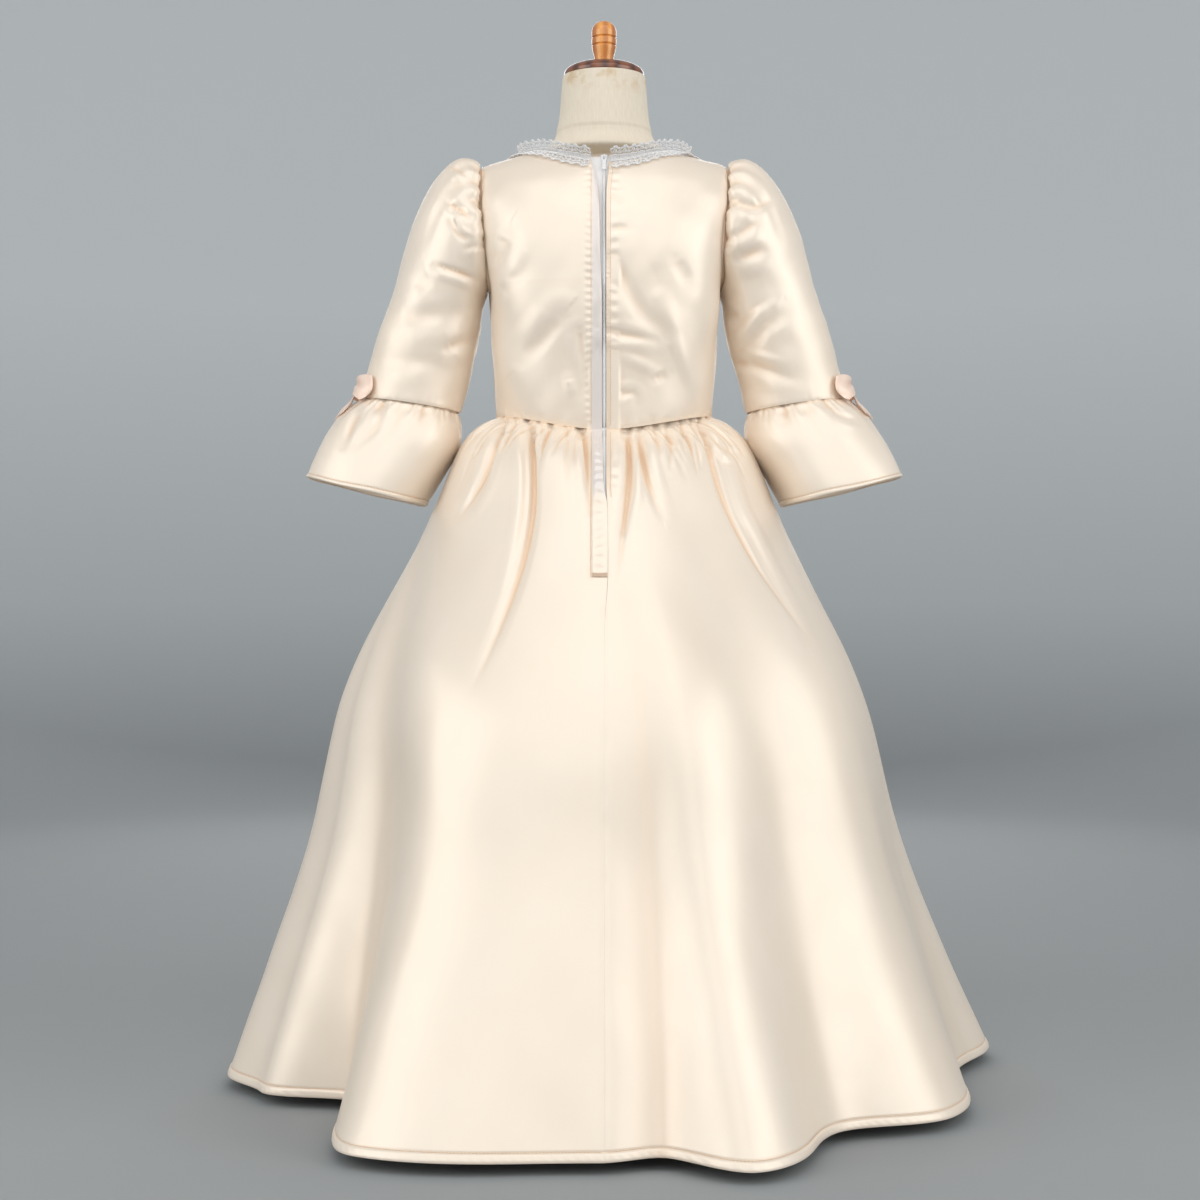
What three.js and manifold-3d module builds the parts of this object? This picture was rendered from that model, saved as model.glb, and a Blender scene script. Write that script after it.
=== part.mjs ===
// A child's champagne satin ball gown on a limbless linen dress form.
// Millimetres, +Z up. The gown's front faces -Y and its zipped back faces +Y, so the
// wearer's left is +X. The origin is the middle of the stand's underside, on the floor.
//
// Every piece of cloth is a wall of even thickness under a surface that is a function of
// two numbers, such as an azimuth and a share of the way down. Azimuths are degrees,
// counterclockwise seen from above: 0 is the wearer's left, 90 the back, 270 the front.
import * as THREE from "three";
import { mergeVertices } from "three/addons/utils/BufferGeometryUtils.js";
import Module from "manifold-3d";

// ---- Cloth ----
const WALL = 1.2; // satin and its underlining
const SEAM_GAP = 0.3; // between pieces that are sewn to each other
const HALF_GAP = SEAM_GAP / 2;
const PROUD_HEM = 0.8; // a turned hem stands this far out of the wall

// ---- Skirt ----
const HEM_HEIGHT = 12; // the hem's height above the floor
const HEM_BAND = 9; // the turned hem's width
const WAIST = { wide: 113, deep: 88, back: 667, front: 672, side: 686 };
const HEM_REACH = 388; // the mean radius of the hem
const WAIST_PUFF = 0.11; // share of the spread that the gathers give at once
const PUFF_DROP = { free: 0.02, zipped: 0.05, zipWidth: 12 }; // the zip holds the puff back
const BELL = { size: 0.1, at: 0.42, width: 0.18 }; // the skirt is rounder than a cone here
const FOLD_GROWTH = 1.2; // how the folds deepen on the way down
const FOLD_SETTLED = 0.6; // above this share of the drop the folds drift round
// The large folds as the hem shows them: crests and valleys in turn, and how far each
// has drifted round where it starts, at the waist.
const FOLDS = [
  { at: 10, reach: 388, drift: -30 },
  { at: 22, reach: 366, drift: -40 },
  { at: 36, reach: 300, drift: -50 },
  { at: 60, reach: 432, drift: -46 },
  { at: 89, reach: 394, drift: 0 },
  { at: 97, reach: 380, drift: -6 },
  { at: 107, reach: 442, drift: -6 },
  { at: 127, reach: 361, drift: 0 },
  { at: 144, reach: 403, drift: 18 },
  { at: 172, reach: 366, drift: 12 },
  { at: 192, reach: 424, drift: 6 },
  { at: 214, reach: 345, drift: 8 },
  { at: 232, reach: 398, drift: -8 },
  { at: 251, reach: 340, drift: 0 },
  { at: 270, reach: 395, drift: 4 },
  { at: 289, reach: 338, drift: -6 },
  { at: 309, reach: 400, drift: 6 },
  { at: 331, reach: 345, drift: -8 },
];
// The gathers' valleys on the back: azimuth at the waist, a control azimuth on the way,
// azimuth at the end, share of the drop that it reaches, depth and half width.
const BACK_GATHERS = [
  { at: 6, by: 10, to: 12, reach: 0.1, deep: 3, wide: 9 },
  { at: 16, by: 50, to: 34, reach: 0.165, deep: 5, wide: 10 },
  { at: 27, by: 42, to: 44, reach: 0.06, deep: 3, wide: 8 },
  { at: 37, by: 76, to: 60, reach: 0.437, deep: 7, wide: 13 },
  { at: 45, by: 58, to: 60, reach: 0.05, deep: 2.5, wide: 8 },
  { at: 54, by: 62, to: 63, reach: 0.09, deep: 4, wide: 8 },
  { at: 64, by: 71, to: 73, reach: 0.05, deep: 2.5, wide: 8 },
  { at: 74, by: 83, to: 83, reach: 0.12, deep: 4.5, wide: 9 },
  { at: 107, by: 101, to: 93.5, reach: 0.25, deep: 5, wide: 11 },
  { at: 114, by: 103, to: 109, reach: 0.15, deep: 5, wide: 13 },
  { at: 124, by: 117, to: 115, reach: 0.05, deep: 2.5, wide: 8 },
  { at: 133, by: 124, to: 121, reach: 0.045, deep: 3, wide: 8 },
  { at: 142, by: 131, to: 128, reach: 0.09, deep: 4, wide: 8 },
  { at: 150, by: 140, to: 137, reach: 0.05, deep: 3, wide: 8 },
  { at: 158, by: 123, to: 149, reach: 0.374, deep: 5, wide: 12 },
  { at: 167, by: 158, to: 160, reach: 0.07, deep: 5, wide: 8 },
  { at: 175, by: 171, to: 172, reach: 0.08, deep: 3, wide: 8 },
];
// The front's are laid out by rule, every fourth one long.
const FRONT_GATHERS = {
  count: 17,
  uneven: 0.25, // share of the spacing
  bow: 20, // how far they swing on the way down, so that they hang straight
  end: 12,
  long: { every: 4, first: 2, reach: 0.34, vary: 0.06, deep: 6, wide: 13 },
  short: { reach: 0.09, vary: 0.04, deep: 3.8, wide: 8.5 },
};
// A gather starts shallow at the seam, and is at its deepest this share of the drop below.
const GATHER_START = { depth: 0.35, by: 0.02 };

// ---- Bodice ----
const UNDERARM = 817.5; // height of the armhole's lowest point
const CHEST = { wide: 121, deep: 97, power: 3.2 };
const WAIST_POWER = 2; // the sections go from an ellipse to squarer
const SHOULDER = { out: 127, height: 949, slope: 0.27, crown: 30 };
const ARMHOLE_DEEP = 50; // half the armhole's width, front to back
const YOKE_POWER = 2.4; // how the chest rounds over to the shoulder
const NECK_ANGLE = 45; // where on the section the neckline leaves the shoulder seam
const NECKLINE = { back: 943, front: 880, backRound: 1, frontRound: 1.6 };

// ---- Zip ----
const ZIP = {
  bottom: 590, // its lower end in the skirt
  top: 948,
  tape: { left: 14, right: 11 }, // each tape's width
  thick: 1,
  behind: 1.3, // between the tapes and the panels over them
  left: { lap: 12, lapTop: 13.5 }, // the left panels' edges, beside the bare tape
  right: { lap: 3, lapTop: 5 }, // the right panels' edges, by the teeth and the slider
  blend: 13, // the height over which the edges come back to the seam
};
const SLIDER = { wide: 8, tall: 9, thick: 2.4, at: 945.5 };
const BRIDGE = { wide: 1.6, tall: 5.6, high: 3, thick: 1.2, sunk: 0.2 };
const PULL = { wide: 4.6, long: 20, thick: 1, bar: 1.1, eyeWide: 2.4, eyeTall: 4.2 };

// ---- Sleeves ----
// Rings across the left sleeve, from the armhole down: the outer point, the inner point
// and half the depth, front to back.
const SLEEVE = [
  { xOut: 127.3, zOut: 949, xIn: 121.3, zIn: 817.5, deep: 50 },
  { xOut: 134, zOut: 957, xIn: 123, zIn: 812, deep: 58 },
  { xOut: 150, zOut: 958, xIn: 125, zIn: 806, deep: 62 },
  { xOut: 168, zOut: 946, xIn: 126.5, zIn: 799, deep: 62 },
  { xOut: 184, zOut: 925, xIn: 127.5, zIn: 790, deep: 60 },
  { xOut: 199, zOut: 890, xIn: 129, zIn: 778, deep: 57 },
  { xOut: 212, zOut: 850, xIn: 131.5, zIn: 765, deep: 54 },
  { xOut: 225, zOut: 806, xIn: 135.5, zIn: 748, deep: 52 },
  { xOut: 238, zOut: 765, xIn: 141, zIn: 728, deep: 50 },
  { xOut: 256, zOut: 706, xIn: 150.5, zIn: 691, deep: 48 },
];
const FLOUNCE = [
  { xOut: 256, zOut: 705.4, xIn: 150.5, zIn: 690.6, deep: 48 },
  { xOut: 275, zOut: 690, xIn: 147.5, zIn: 675, deep: 58 },
  { xOut: 292, zOut: 668, xIn: 150, zIn: 652, deep: 66 },
  { xOut: 304, zOut: 645, xIn: 166, zIn: 622, deep: 72 },
  { xOut: 313, zOut: 624, xIn: 184, zIn: 592, deep: 76 },
];
// Gathers over the cap, between two directions either side of the outermost point. wide
// is degrees, and reach is rings down the sleeve.
const CAP_GATHERS = { count: 8, from: -78, to: 78, deep: 4, wide: 10, reach: 4.6, vary: 1.4 };
const FLOUNCE_GATHERS = { count: 12, deep: 3.4, wide: 13, reach: 2.2, vary: 0.9 };
const FLOUNCE_WAVE = { count: 4, deep: 2.5, turn: 40 };
const CUFF_BAND = 0.2; // the flounce hem's width, as a share of the last ring's spacing

// ---- Bows, one on the outside of each elbow ----
const BOW_SEAT = 0.5; // clear of the sleeve
const BOW_AT = { around: 6, above: 12 }; // degrees towards the back, mm above the seam
const BOW_LOOP = { long: 27, thick: 8, flat: 0.45, tallIn: 12, tallOut: 28, wall: 1, seat: 2 };
const BOW_KNOT = { wide: 11, tall: 13, thick: 8, square: 0.7 };
const BOW_TAIL = {
  long: 34,
  wideIn: 5,
  wideOut: 11,
  from: 3, // sideways from the knot's middle
  spread: 9,
  slant: 7,
  seat: 2,
  flutter: 2.4,
};

// ---- Lace ----
const LACE = { wall: 1, pitch: 10, notch: 2.6, wave: 1.1 };
const STANDING = { tall: 12.5, lean: 0.35, seat: 1.3 };
const FALLING = { tall: 14, foot: 1, seat: 0.6 };
const LACE_ENDS = { left: 13.5, right: 5.5 }; // distance from the centre back

// ---- Dress form and stand ----
const FORM_CLEAR = 0.7; // under the shoulders, where the gown rests on it
const FORM = [
  { z: 560, wide: 104, deep: 76, power: 2.2 },
  { z: 600, wide: 106, deep: 78, power: 2.2 },
  { z: 668, wide: 100, deep: 76, power: 2.2 },
  { z: 760, wide: 106, deep: 83, power: 2.4 },
  { z: 830, wide: 112, deep: 86, power: 2.6 },
  { z: 880, wide: 115, deep: 78, power: 2.6 },
  { z: 915, wide: 117, deep: 66, power: 2.4 },
  { z: 937, wide: 118, deep: 54, power: 2.2 },
];
const FORM_SHOULDER = [
  { wide: 117, deep: 40, power: 1.5 },
  { wide: 104, deep: 38, power: 1.6 },
  { wide: 91, deep: 33, power: 1.55 },
];
const FORM_NECK = [
  { z: 965, wide: 66, deep: 50, power: 2 },
  { z: 980, wide: 52, deep: 47, power: 2 },
  { z: 1000, wide: 47, deep: 46, power: 2 },
  { z: 1043, wide: 43.5, deep: 43.5, power: 2 },
];
const CAP = { radius: 42, foot: 3, height: 15, seat: 8 };
const KNOB = { height: 44, radius: 13, neck: 9.5, swell: 0.45, crown: 0.72 };
const GROOVE = { deep: 1.6, half: 1, at: [18, 26] };
const POLE_RADIUS = 11;
const BASE = { radius: 150, height: 12, edge: 5 };

// ---- Small tools ----
const { lerp, degToRad: rad } = THREE.MathUtils;
const point = (x, y, z) => new THREE.Vector3(x, y, z);
const clamp01 = (t) => Math.min(1, Math.max(0, t));
const ease = (t) => (1 - Math.cos(Math.PI * clamp01(t))) / 2;
const hump = (t) => (Math.abs(t) < 1 ? Math.cos((Math.PI * t) / 2) ** 2 : 0);
const steps = (n) => Array.from({ length: n + 1 }, (_, i) => i / n);
const GOLDEN = 0.618034;
const uneven = (k, salt) => 2 * ((k * GOLDEN + salt * 0.377) % 1) - 1;

// The value of every column of a table at a fractional row, on a smooth curve.
function rowAt(table, place) {
  const last = table.length - 1;
  const i = Math.min(last - 1, Math.max(0, Math.floor(place)));
  const t = place - i;
  const [before, from, to, after] = [i - 1, i, i + 1, i + 2].map(
    (k) => table[Math.min(last, Math.max(0, k))],
  );
  const row = {};
  for (const key of Object.keys(from)) {
    const slopeIn = (to[key] - before[key]) / 2;
    const slopeOut = (after[key] - from[key]) / 2;
    const bend = 2 * (from[key] - to[key]) + slopeIn + slopeOut;
    const curve = 3 * (to[key] - from[key]) - 2 * slopeIn - slopeOut;
    row[key] = from[key] + t * (slopeIn + t * (curve + t * bend));
  }
  return row;
}

// The outward normal of a surface, from two short steps on it. turn is -1 where the
// surface's two numbers run the other way round.
const STEP = 1e-3;
function normalOf(surface, across, down, turn = 1) {
  const along = surface(across + STEP, down).sub(surface(across - STEP, down));
  const drop = surface(across, down + STEP).sub(surface(across, down - STEP));
  return drop.cross(along).multiplyScalar(turn).normalize();
}

// Triangles between two rows of vertices whose places along the row may differ.
function stitch(faces, upper, lower, places, flip) {
  let i = 0;
  let j = 0;
  const add = (a, b, c) => faces.push(...(flip ? [a, c, b] : [a, b, c]));
  while (i < upper.length - 1 || j < lower.length - 1) {
    const upperNext = places.upper[i + 1] ?? Infinity;
    const lowerNext = places.lower[j + 1] ?? Infinity;
    if (upperNext <= lowerNext) {
      add(upper[i], lower[j], upper[i + 1]);
      i += 1;
    } else {
      add(upper[i], lower[j], lower[j + 1]);
      j += 1;
    }
  }
}

function geometryOf(points, faces) {
  const geometry = new THREE.BufferGeometry();
  geometry.setAttribute("position", new THREE.Float32BufferAttribute(points, 3));
  geometry.setIndex(faces);
  return geometry;
}

function signedVolume(points, faces) {
  const corner = (k) => new THREE.Vector3().fromArray(points, 3 * k);
  let volume = 0;
  for (let i = 0; i < faces.length; i += 3)
    volume += corner(faces[i]).dot(corner(faces[i + 1]).cross(corner(faces[i + 2])));
  return volume / 6;
}

// A wall under a surface. Each row gives its place down and the places across it, and
// may stand proud of the surface. A closed wall is a tube whose rows run from 0 to 1.
function shell({ surface, rows, closed = false, wall = WALL, turn = 1 }) {
  const points = [];
  const faces = [];
  const put = (p) => points.push(p.x, p.y, p.z) / 3 - 1;
  const levels = rows.map(({ down, across, proud = 0 }) => {
    const shown = closed ? across.slice(0, -1) : across;
    const outer = [];
    const inner = [];
    for (const place of shown) {
      const p = surface(place, down);
      const n = normalOf(surface, place, down, turn);
      outer.push(put(p.clone().addScaledVector(n, proud)));
      inner.push(put(p.addScaledVector(n, -wall)));
    }
    if (closed) {
      outer.push(outer[0]);
      inner.push(inner[0]);
    }
    return { across, outer, inner };
  });
  for (let i = 1; i < levels.length; i += 1) {
    const [a, b] = [levels[i - 1], levels[i]];
    const places = { upper: a.across, lower: b.across };
    stitch(faces, a.outer, b.outer, places, false);
    stitch(faces, a.inner, b.inner, places, true);
    if (!closed) {
      const end = [a.outer.length - 1, b.outer.length - 1];
      const [p, q, r, s] = [a.inner[0], a.outer[0], b.inner[0], b.outer[0]];
      faces.push(p, r, q, q, r, s);
      const [t, u] = [a.inner[end[0]], a.outer[end[0]]];
      const [v, w] = [b.inner[end[1]], b.outer[end[1]]];
      faces.push(t, u, v, u, w, v);
    }
  }
  const rims = [
    { level: levels[0], flip: true },
    { level: levels[levels.length - 1], flip: false },
  ];
  for (const { level, flip } of rims)
    stitch(faces, level.outer, level.inner, { upper: level.across, lower: level.across }, flip);
  if (signedVolume(points, faces) < 0)
    for (let i = 0; i < faces.length; i += 3)
      [faces[i + 1], faces[i + 2]] = [faces[i + 2], faces[i + 1]];
  return geometryOf(points, faces);
}

// ---- Skirt surface ----
function waistHeight(azimuth) {
  const facing = Math.sin(rad(azimuth));
  const middle = facing > 0 ? WAIST.back : WAIST.front;
  return lerp(WAIST.side, middle, facing ** 2);
}

function waistRadius(azimuth) {
  const a = rad(azimuth);
  return 1 / Math.hypot(Math.cos(a) / WAIST.wide, Math.sin(a) / WAIST.deep);
}

// The radius that the large folds give the hem, with the folds where they lie at this
// share of the drop.
function foldReach(azimuth, down) {
  const unsettled = (1 - clamp01(down / FOLD_SETTLED)) ** 2;
  const placed = FOLDS.map(({ at, reach, drift }) => ({ at: at + drift * unsettled, reach }));
  const first = placed[0];
  const turned = first.at + ((((azimuth - first.at) % 360) + 360) % 360);
  placed.push({ at: first.at + 360, reach: first.reach });
  const i = placed.findIndex(({ at }) => at > turned);
  const [from, to] = [placed[i - 1], placed[i]];
  return lerp(from.reach, to.reach, ease((turned - from.at) / (to.at - from.at)));
}

function frontGathers() {
  const { count, bow, end, long, short } = FRONT_GATHERS;
  return Array.from({ length: count }, (_, k) => {
    const at = 180 + ((k + 0.5 + FRONT_GATHERS.uneven * uneven(k, 1)) * 180) / count;
    const swing = Math.sin(2 * rad(at));
    const { reach, vary, deep, wide } = k % long.every === long.first ? long : short;
    return {
      at,
      by: at + bow * swing,
      to: at + end * swing,
      reach: reach + vary * uneven(k, 2),
      deep,
      wide,
    };
  });
}
const GATHERS = [...BACK_GATHERS, ...frontGathers()];

// How deep the gathers dent the skirt here.
function gatherDepth(azimuth, down, radius) {
  let depth = 0;
  for (const { at, by, to, reach, deep, wide } of GATHERS) {
    if (down >= reach) continue;
    const s = Math.sqrt(clamp01(down / reach));
    const middle = at * (1 - s) ** 2 + 2 * by * s * (1 - s) + to * s * s;
    const off = rad(((azimuth - middle + 540) % 360) - 180) * radius;
    const start = lerp(GATHER_START.depth, 1, ease(down / GATHER_START.by));
    depth += deep * hump(off / wide) * start * (1 - ease(down / reach));
  }
  return depth;
}

// The outer surface of the skirt, by azimuth and share of the drop.
function skirtPoint(azimuth, down) {
  const a = rad(azimuth);
  const zipped = Math.exp(-(((azimuth - 90) / PUFF_DROP.zipWidth) ** 2));
  const puffDrop = lerp(PUFF_DROP.free, PUFF_DROP.zipped, zipped);
  const bell = BELL.size * Math.exp(-(((down - BELL.at) / BELL.width) ** 2));
  const puff = 1 - Math.exp(-Math.max(0, down) / puffDrop);
  const spread = WAIST_PUFF * puff + (1 - WAIST_PUFF) * (down + bell);
  const grown = Math.max(0, down) ** FOLD_GROWTH;
  const hem = HEM_REACH + (foldReach(azimuth, down) - HEM_REACH) * grown;
  const plain = lerp(waistRadius(azimuth), hem, spread);
  const r = plain - gatherDepth(azimuth, Math.max(0, down), plain);
  const z = lerp(waistHeight(azimuth) - HALF_GAP, HEM_HEIGHT, down);
  return point(r * Math.cos(a), r * Math.sin(a), z);
}

// ---- Bodice surface ----
// The ridge from shoulder to shoulder, rounded over the middle, where the neck cuts it off.
function shoulderHeight(x) {
  const { out, height, slope, crown } = SHOULDER;
  return height + slope * (Math.hypot(out, crown) - Math.hypot(x, crown));
}
const squareness = (side, power) => (1 - side ** power) ** (1 / power);

// The outer surface of the bodice. face is 1 on the back and -1 on the front, angle goes
// from 0 at its middle to 90 at the side, and up from -1 at the waist, through 0 at the
// underarm, to 1 at the shoulder.
function bodicePoint(face, angle, up) {
  const across = Math.sin(rad(angle));
  const side = Math.min(1, Math.abs(across));
  if (up < 0) {
    const t = up + 1;
    const waistY = face * WAIST.deep * squareness(side, WAIST_POWER);
    const azimuth = THREE.MathUtils.radToDeg(Math.atan2(waistY, WAIST.wide * across));
    const low = waistHeight(azimuth) + HALF_GAP;
    const wide = lerp(WAIST.wide, CHEST.wide, t);
    const deep = lerp(WAIST.deep, CHEST.deep, t);
    const y = deep * squareness(side, lerp(WAIST_POWER, CHEST.power, t));
    return point(wide * across, face * (y + HALF_GAP), lerp(low, UNDERARM, t));
  }
  const t = Math.min(1, up);
  const x = lerp(CHEST.wide, SHOULDER.out, t) * across;
  const armhole = 2 * ARMHOLE_DEEP * Math.sqrt(t * (1 - t));
  const chest = CHEST.deep * squareness(t, YOKE_POWER);
  // The section is cut off where it meets the armhole's edge.
  const cut = t < 1 ? squareness(armhole / chest, CHEST.power) : 1;
  const y = chest * squareness(side * cut, CHEST.power);
  return point(x, face * (y + HALF_GAP), lerp(UNDERARM, shoulderHeight(x), t));
}

// How far up the surface the cloth goes: to the neckline between the shoulder seams.
function bodiceTop(face, angle) {
  const middle = face > 0 ? NECKLINE.back : NECKLINE.front;
  const low = (middle - UNDERARM) / (shoulderHeight(0) - UNDERARM);
  const round = face > 0 ? NECKLINE.backRound : NECKLINE.frontRound;
  return lerp(low, 1, ease((Math.abs(angle) / NECK_ANGLE) ** round));
}

// The gown's back at a place beside the zip: bodice above the waist, skirt below it.
function backPoint(x, z) {
  if (z >= WAIST.back) {
    const above = z >= UNDERARM;
    const ridge = shoulderHeight(x);
    const up = (z - UNDERARM) / (above ? ridge - UNDERARM : UNDERARM - WAIST.back);
    const wide = above
      ? lerp(CHEST.wide, SHOULDER.out, up)
      : lerp(WAIST.wide, CHEST.wide, up + 1);
    return bodicePoint(1, THREE.MathUtils.radToDeg(Math.asin(x / wide)), up);
  }
  const down = (WAIST.back - z) / (WAIST.back - HEM_HEIGHT);
  return skirtPoint(skirtAzimuth(x, down), down);
}

// The azimuth at which the skirt's back crosses this x.
function skirtAzimuth(x, down) {
  let azimuth = 90;
  for (let i = 0; i < 6; i += 1) {
    const p = skirtPoint(azimuth, down);
    azimuth = THREE.MathUtils.radToDeg(Math.acos(x / Math.hypot(p.x, p.y)));
  }
  return azimuth;
}

// ---- Panels ----
// How far the panels' centre back edges stand from the centre, at a height.
function lapAt(z, { lap, lapTop }) {
  const zipped = ease((z - ZIP.bottom + ZIP.blend / 2) / ZIP.blend);
  const widening = ease((z - UNDERARM) / (NECKLINE.back - UNDERARM));
  return lerp(HALF_GAP, lerp(lap, lapTop, widening), zipped);
}

const SKIRT_ROWS = {
  gathered: [0, 0.009, 0.028, 0.06, 0.1, 0.125, 0.19, 0.27],
  falling: [0.36, 0.5, 0.66, 0.83],
};

// A skirt panel between two edges, each a function of the share of the drop.
function skirtPanel(fromEdge, toEdge, quarters) {
  const surface = (across, down) =>
    skirtPoint(lerp(fromEdge(down), toEdge(down), across), down);
  const fine = steps(24 * quarters);
  const coarse = steps(16 * quarters);
  const bandTop = 1 - HEM_BAND / (WAIST.back - HEM_HEIGHT);
  const rows = [
    ...SKIRT_ROWS.gathered.map((down) => ({ down, across: fine })),
    ...SKIRT_ROWS.falling.map((down) => ({ down, across: coarse })),
    { down: bandTop, across: coarse },
    { down: bandTop + 1e-3, across: coarse, proud: PROUD_HEM },
    { down: 1, across: coarse, proud: PROUD_HEM },
  ];
  return shell({ surface, rows });
}

// The azimuth of a side seam's edge, half a gap from the seam, by share of the drop.
const seamEdge = (azimuth, side) => (down) => {
  const p = skirtPoint(azimuth, down);
  return azimuth + side * THREE.MathUtils.radToDeg(HALF_GAP / Math.hypot(p.x, p.y));
};

function skirtBackEdge(side, laps) {
  return (down) => {
    const z = lerp(WAIST.back, HEM_HEIGHT, down);
    return skirtAzimuth(side * lapAt(z, laps), clamp01(down));
  };
}

function skirtPieces() {
  const leftEdge = skirtBackEdge(1, ZIP.left);
  const rightEdge = skirtBackEdge(-1, ZIP.right);
  return {
    skirt_back_left: skirtPanel(seamEdge(0, 1), leftEdge, 1),
    skirt_back_right: skirtPanel(rightEdge, seamEdge(180, -1), 1),
    skirt_front: skirtPanel(seamEdge(180, 1), seamEdge(360, -1), 2),
  };
}

// Rows from the top edge down to the waist, close together where the armhole curves most.
const ARMHOLE_ROWS = steps(7).map((t) => (1 + Math.cos(Math.PI * t)) / 2);
const BODICE_ROWS = [1, 0.985, ...ARMHOLE_ROWS.slice(1), -0.33, -0.66, -1];

// A bodice panel between two angles of its section, from the waist to its top edge.
function bodicePanel(face, fromAngle, toAngle, columns) {
  const surface = (across, down) => {
    const up = 1 - 2 * down; // 1 at the top edge, 0 at the underarm, -1 at the waist
    const angle = lerp(fromAngle(up), toAngle(up), across);
    return bodicePoint(face, angle, up < 0 ? up : up * bodiceTop(face, angle));
  };
  const across = steps(columns);
  const rows = BODICE_ROWS.map((up) => ({ down: (1 - up) / 2, across }));
  return shell({ surface, rows });
}

function bodicePieces() {
  const quarter = () => 90;
  // The angle at which a back panel's edge lies beside the zip.
  const lapAngle = (side, laps) => (up) => {
    const z = up < 0 ? lerp(UNDERARM, WAIST.back, -up) : lerp(UNDERARM, NECKLINE.back, up);
    const wide = up < 0 ? lerp(CHEST.wide, WAIST.wide, -up) : CHEST.wide;
    return side * THREE.MathUtils.radToDeg(Math.asin(lapAt(z, laps) / wide));
  };
  return {
    bodice_front: bodicePanel(-1, () => -90, quarter, 24),
    bodice_back_left: bodicePanel(1, quarter, lapAngle(1, ZIP.left), 12),
    bodice_back_right: bodicePanel(1, lapAngle(-1, ZIP.right), () => -90, 12),
  };
}

// ---- Sleeves and flounces ----
// A ring's point: around is degrees, 0 outside, 90 at the back, 180 against the body.
function ringPoint(row, around) {
  const a = rad(around);
  const middle = { x: (row.xOut + row.xIn) / 2, z: (row.zOut + row.zIn) / 2 };
  const x = middle.x + ((row.xOut - row.xIn) / 2) * Math.cos(a);
  const z = middle.z + ((row.zOut - row.zIn) / 2) * Math.cos(a);
  return point(x, row.deep * Math.sin(a), z);
}

// A surface dented along its normal by depth(around, place).
function dented(table, depth) {
  const plain = (around, place) => ringPoint(rowAt(table, place), around);
  return (around, place) => {
    const p = plain(around, place);
    const n = normalOf(plain, around, place);
    return p.addScaledVector(n, -depth(around, place));
  };
}

function capGatherDepth(around, place) {
  const { count, from, to, deep, wide, reach, vary } = CAP_GATHERS;
  const turned = ((around + 180) % 360) - 180;
  const rise = lerp(0.4, 1, ease(place / 1.2));
  let depth = 0;
  for (let k = 0; k < count; k += 1) {
    const at = lerp(from, to, (k + 0.2 * uneven(k, 5)) / (count - 1));
    const fade = 1 - ease(place / (reach + vary * uneven(k, 6)));
    depth += deep * hump((turned - at) / wide) * rise * fade;
  }
  return depth;
}

function flounceGatherDepth(around, place) {
  const { count, deep, wide, reach, vary } = FLOUNCE_GATHERS;
  const rise = lerp(0.3, 1, ease(place / 0.6));
  let depth = 0;
  for (let k = 0; k < count; k += 1) {
    const at = ((k + 0.25 * uneven(k, 7)) * 360) / count;
    const off = ((around - at + 540) % 360) - 180;
    const fade = 1 - ease(place / (reach + vary * uneven(k, 8)));
    depth += deep * hump(off / wide) * rise * fade;
  }
  const wave = 1 + Math.cos(rad(FLOUNCE_WAVE.count * around + FLOUNCE_WAVE.turn));
  return depth + FLOUNCE_WAVE.deep * wave * ease(place / (FLOUNCE.length - 1));
}

const sleeveSurface = dented(SLEEVE, capGatherDepth);
const flounceSurface = dented(FLOUNCE, flounceGatherDepth);

// The right arm's pieces mirror the left arm's.
function mirrored(geometry) {
  const copy = geometry.clone().scale(-1, 1, 1);
  const index = copy.index.array;
  for (let i = 0; i < index.length; i += 3)
    [index[i + 1], index[i + 2]] = [index[i + 2], index[i + 1]];
  return copy;
}

function sleeve() {
  const surface = (across, place) => sleeveSurface(360 * across, place);
  // Fine columns over the cap's gathers, coarse ones against the body.
  const gathered = 92;
  const cap = [
    ...steps(14).map((t) => (gathered * t) / 360),
    ...steps(9).slice(1, -1).map((t) => lerp(gathered, 360 - gathered, t) / 360),
    ...steps(14).map((t) => (360 - gathered * (1 - t)) / 360),
  ];
  const plain = steps(20);
  const rows = [
    ...[0, 0.5, 1.1, 2, 3, 4].map((down) => ({ down, across: cap })),
    ...[5, 6, 7, 8, 9].map((down) => ({ down, across: plain })),
  ];
  return shell({ surface, rows, closed: true });
}

function flounce() {
  const surface = (across, place) => flounceSurface(360 * across, place);
  const fine = steps(4 * FLOUNCE_GATHERS.count);
  const coarse = steps(24);
  const last = FLOUNCE.length - 1;
  const rows = [
    ...[0, 0.4, 1].map((down) => ({ down, across: fine })),
    ...[1.9, 2.8].map((down) => ({ down, across: coarse })),
    { down: last - CUFF_BAND, across: coarse },
    { down: last - CUFF_BAND + 0.02, across: coarse, proud: PROUD_HEM },
    { down: last, across: coarse, proud: PROUD_HEM },
  ];
  return shell({ surface, rows, closed: true });
}

// ---- Bows ----
// The arm without its gathers, in millimetres below the elbow seam along its outer side,
// so that a bow can be laid on it.
const ARM = [...SLEEVE, ...FLOUNCE.slice(1)];
const ELBOW = SLEEVE.length - 1;
const ABOVE = Math.hypot(
  SLEEVE[ELBOW].xOut - SLEEVE[ELBOW - 1].xOut,
  SLEEVE[ELBOW].zOut - SLEEVE[ELBOW - 1].zOut,
);
const BELOW = Math.hypot(FLOUNCE[1].xOut - FLOUNCE[0].xOut, FLOUNCE[1].zOut - FLOUNCE[0].zOut);
const armPlain = (around, place) => ringPoint(rowAt(ARM, place), around);

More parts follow.
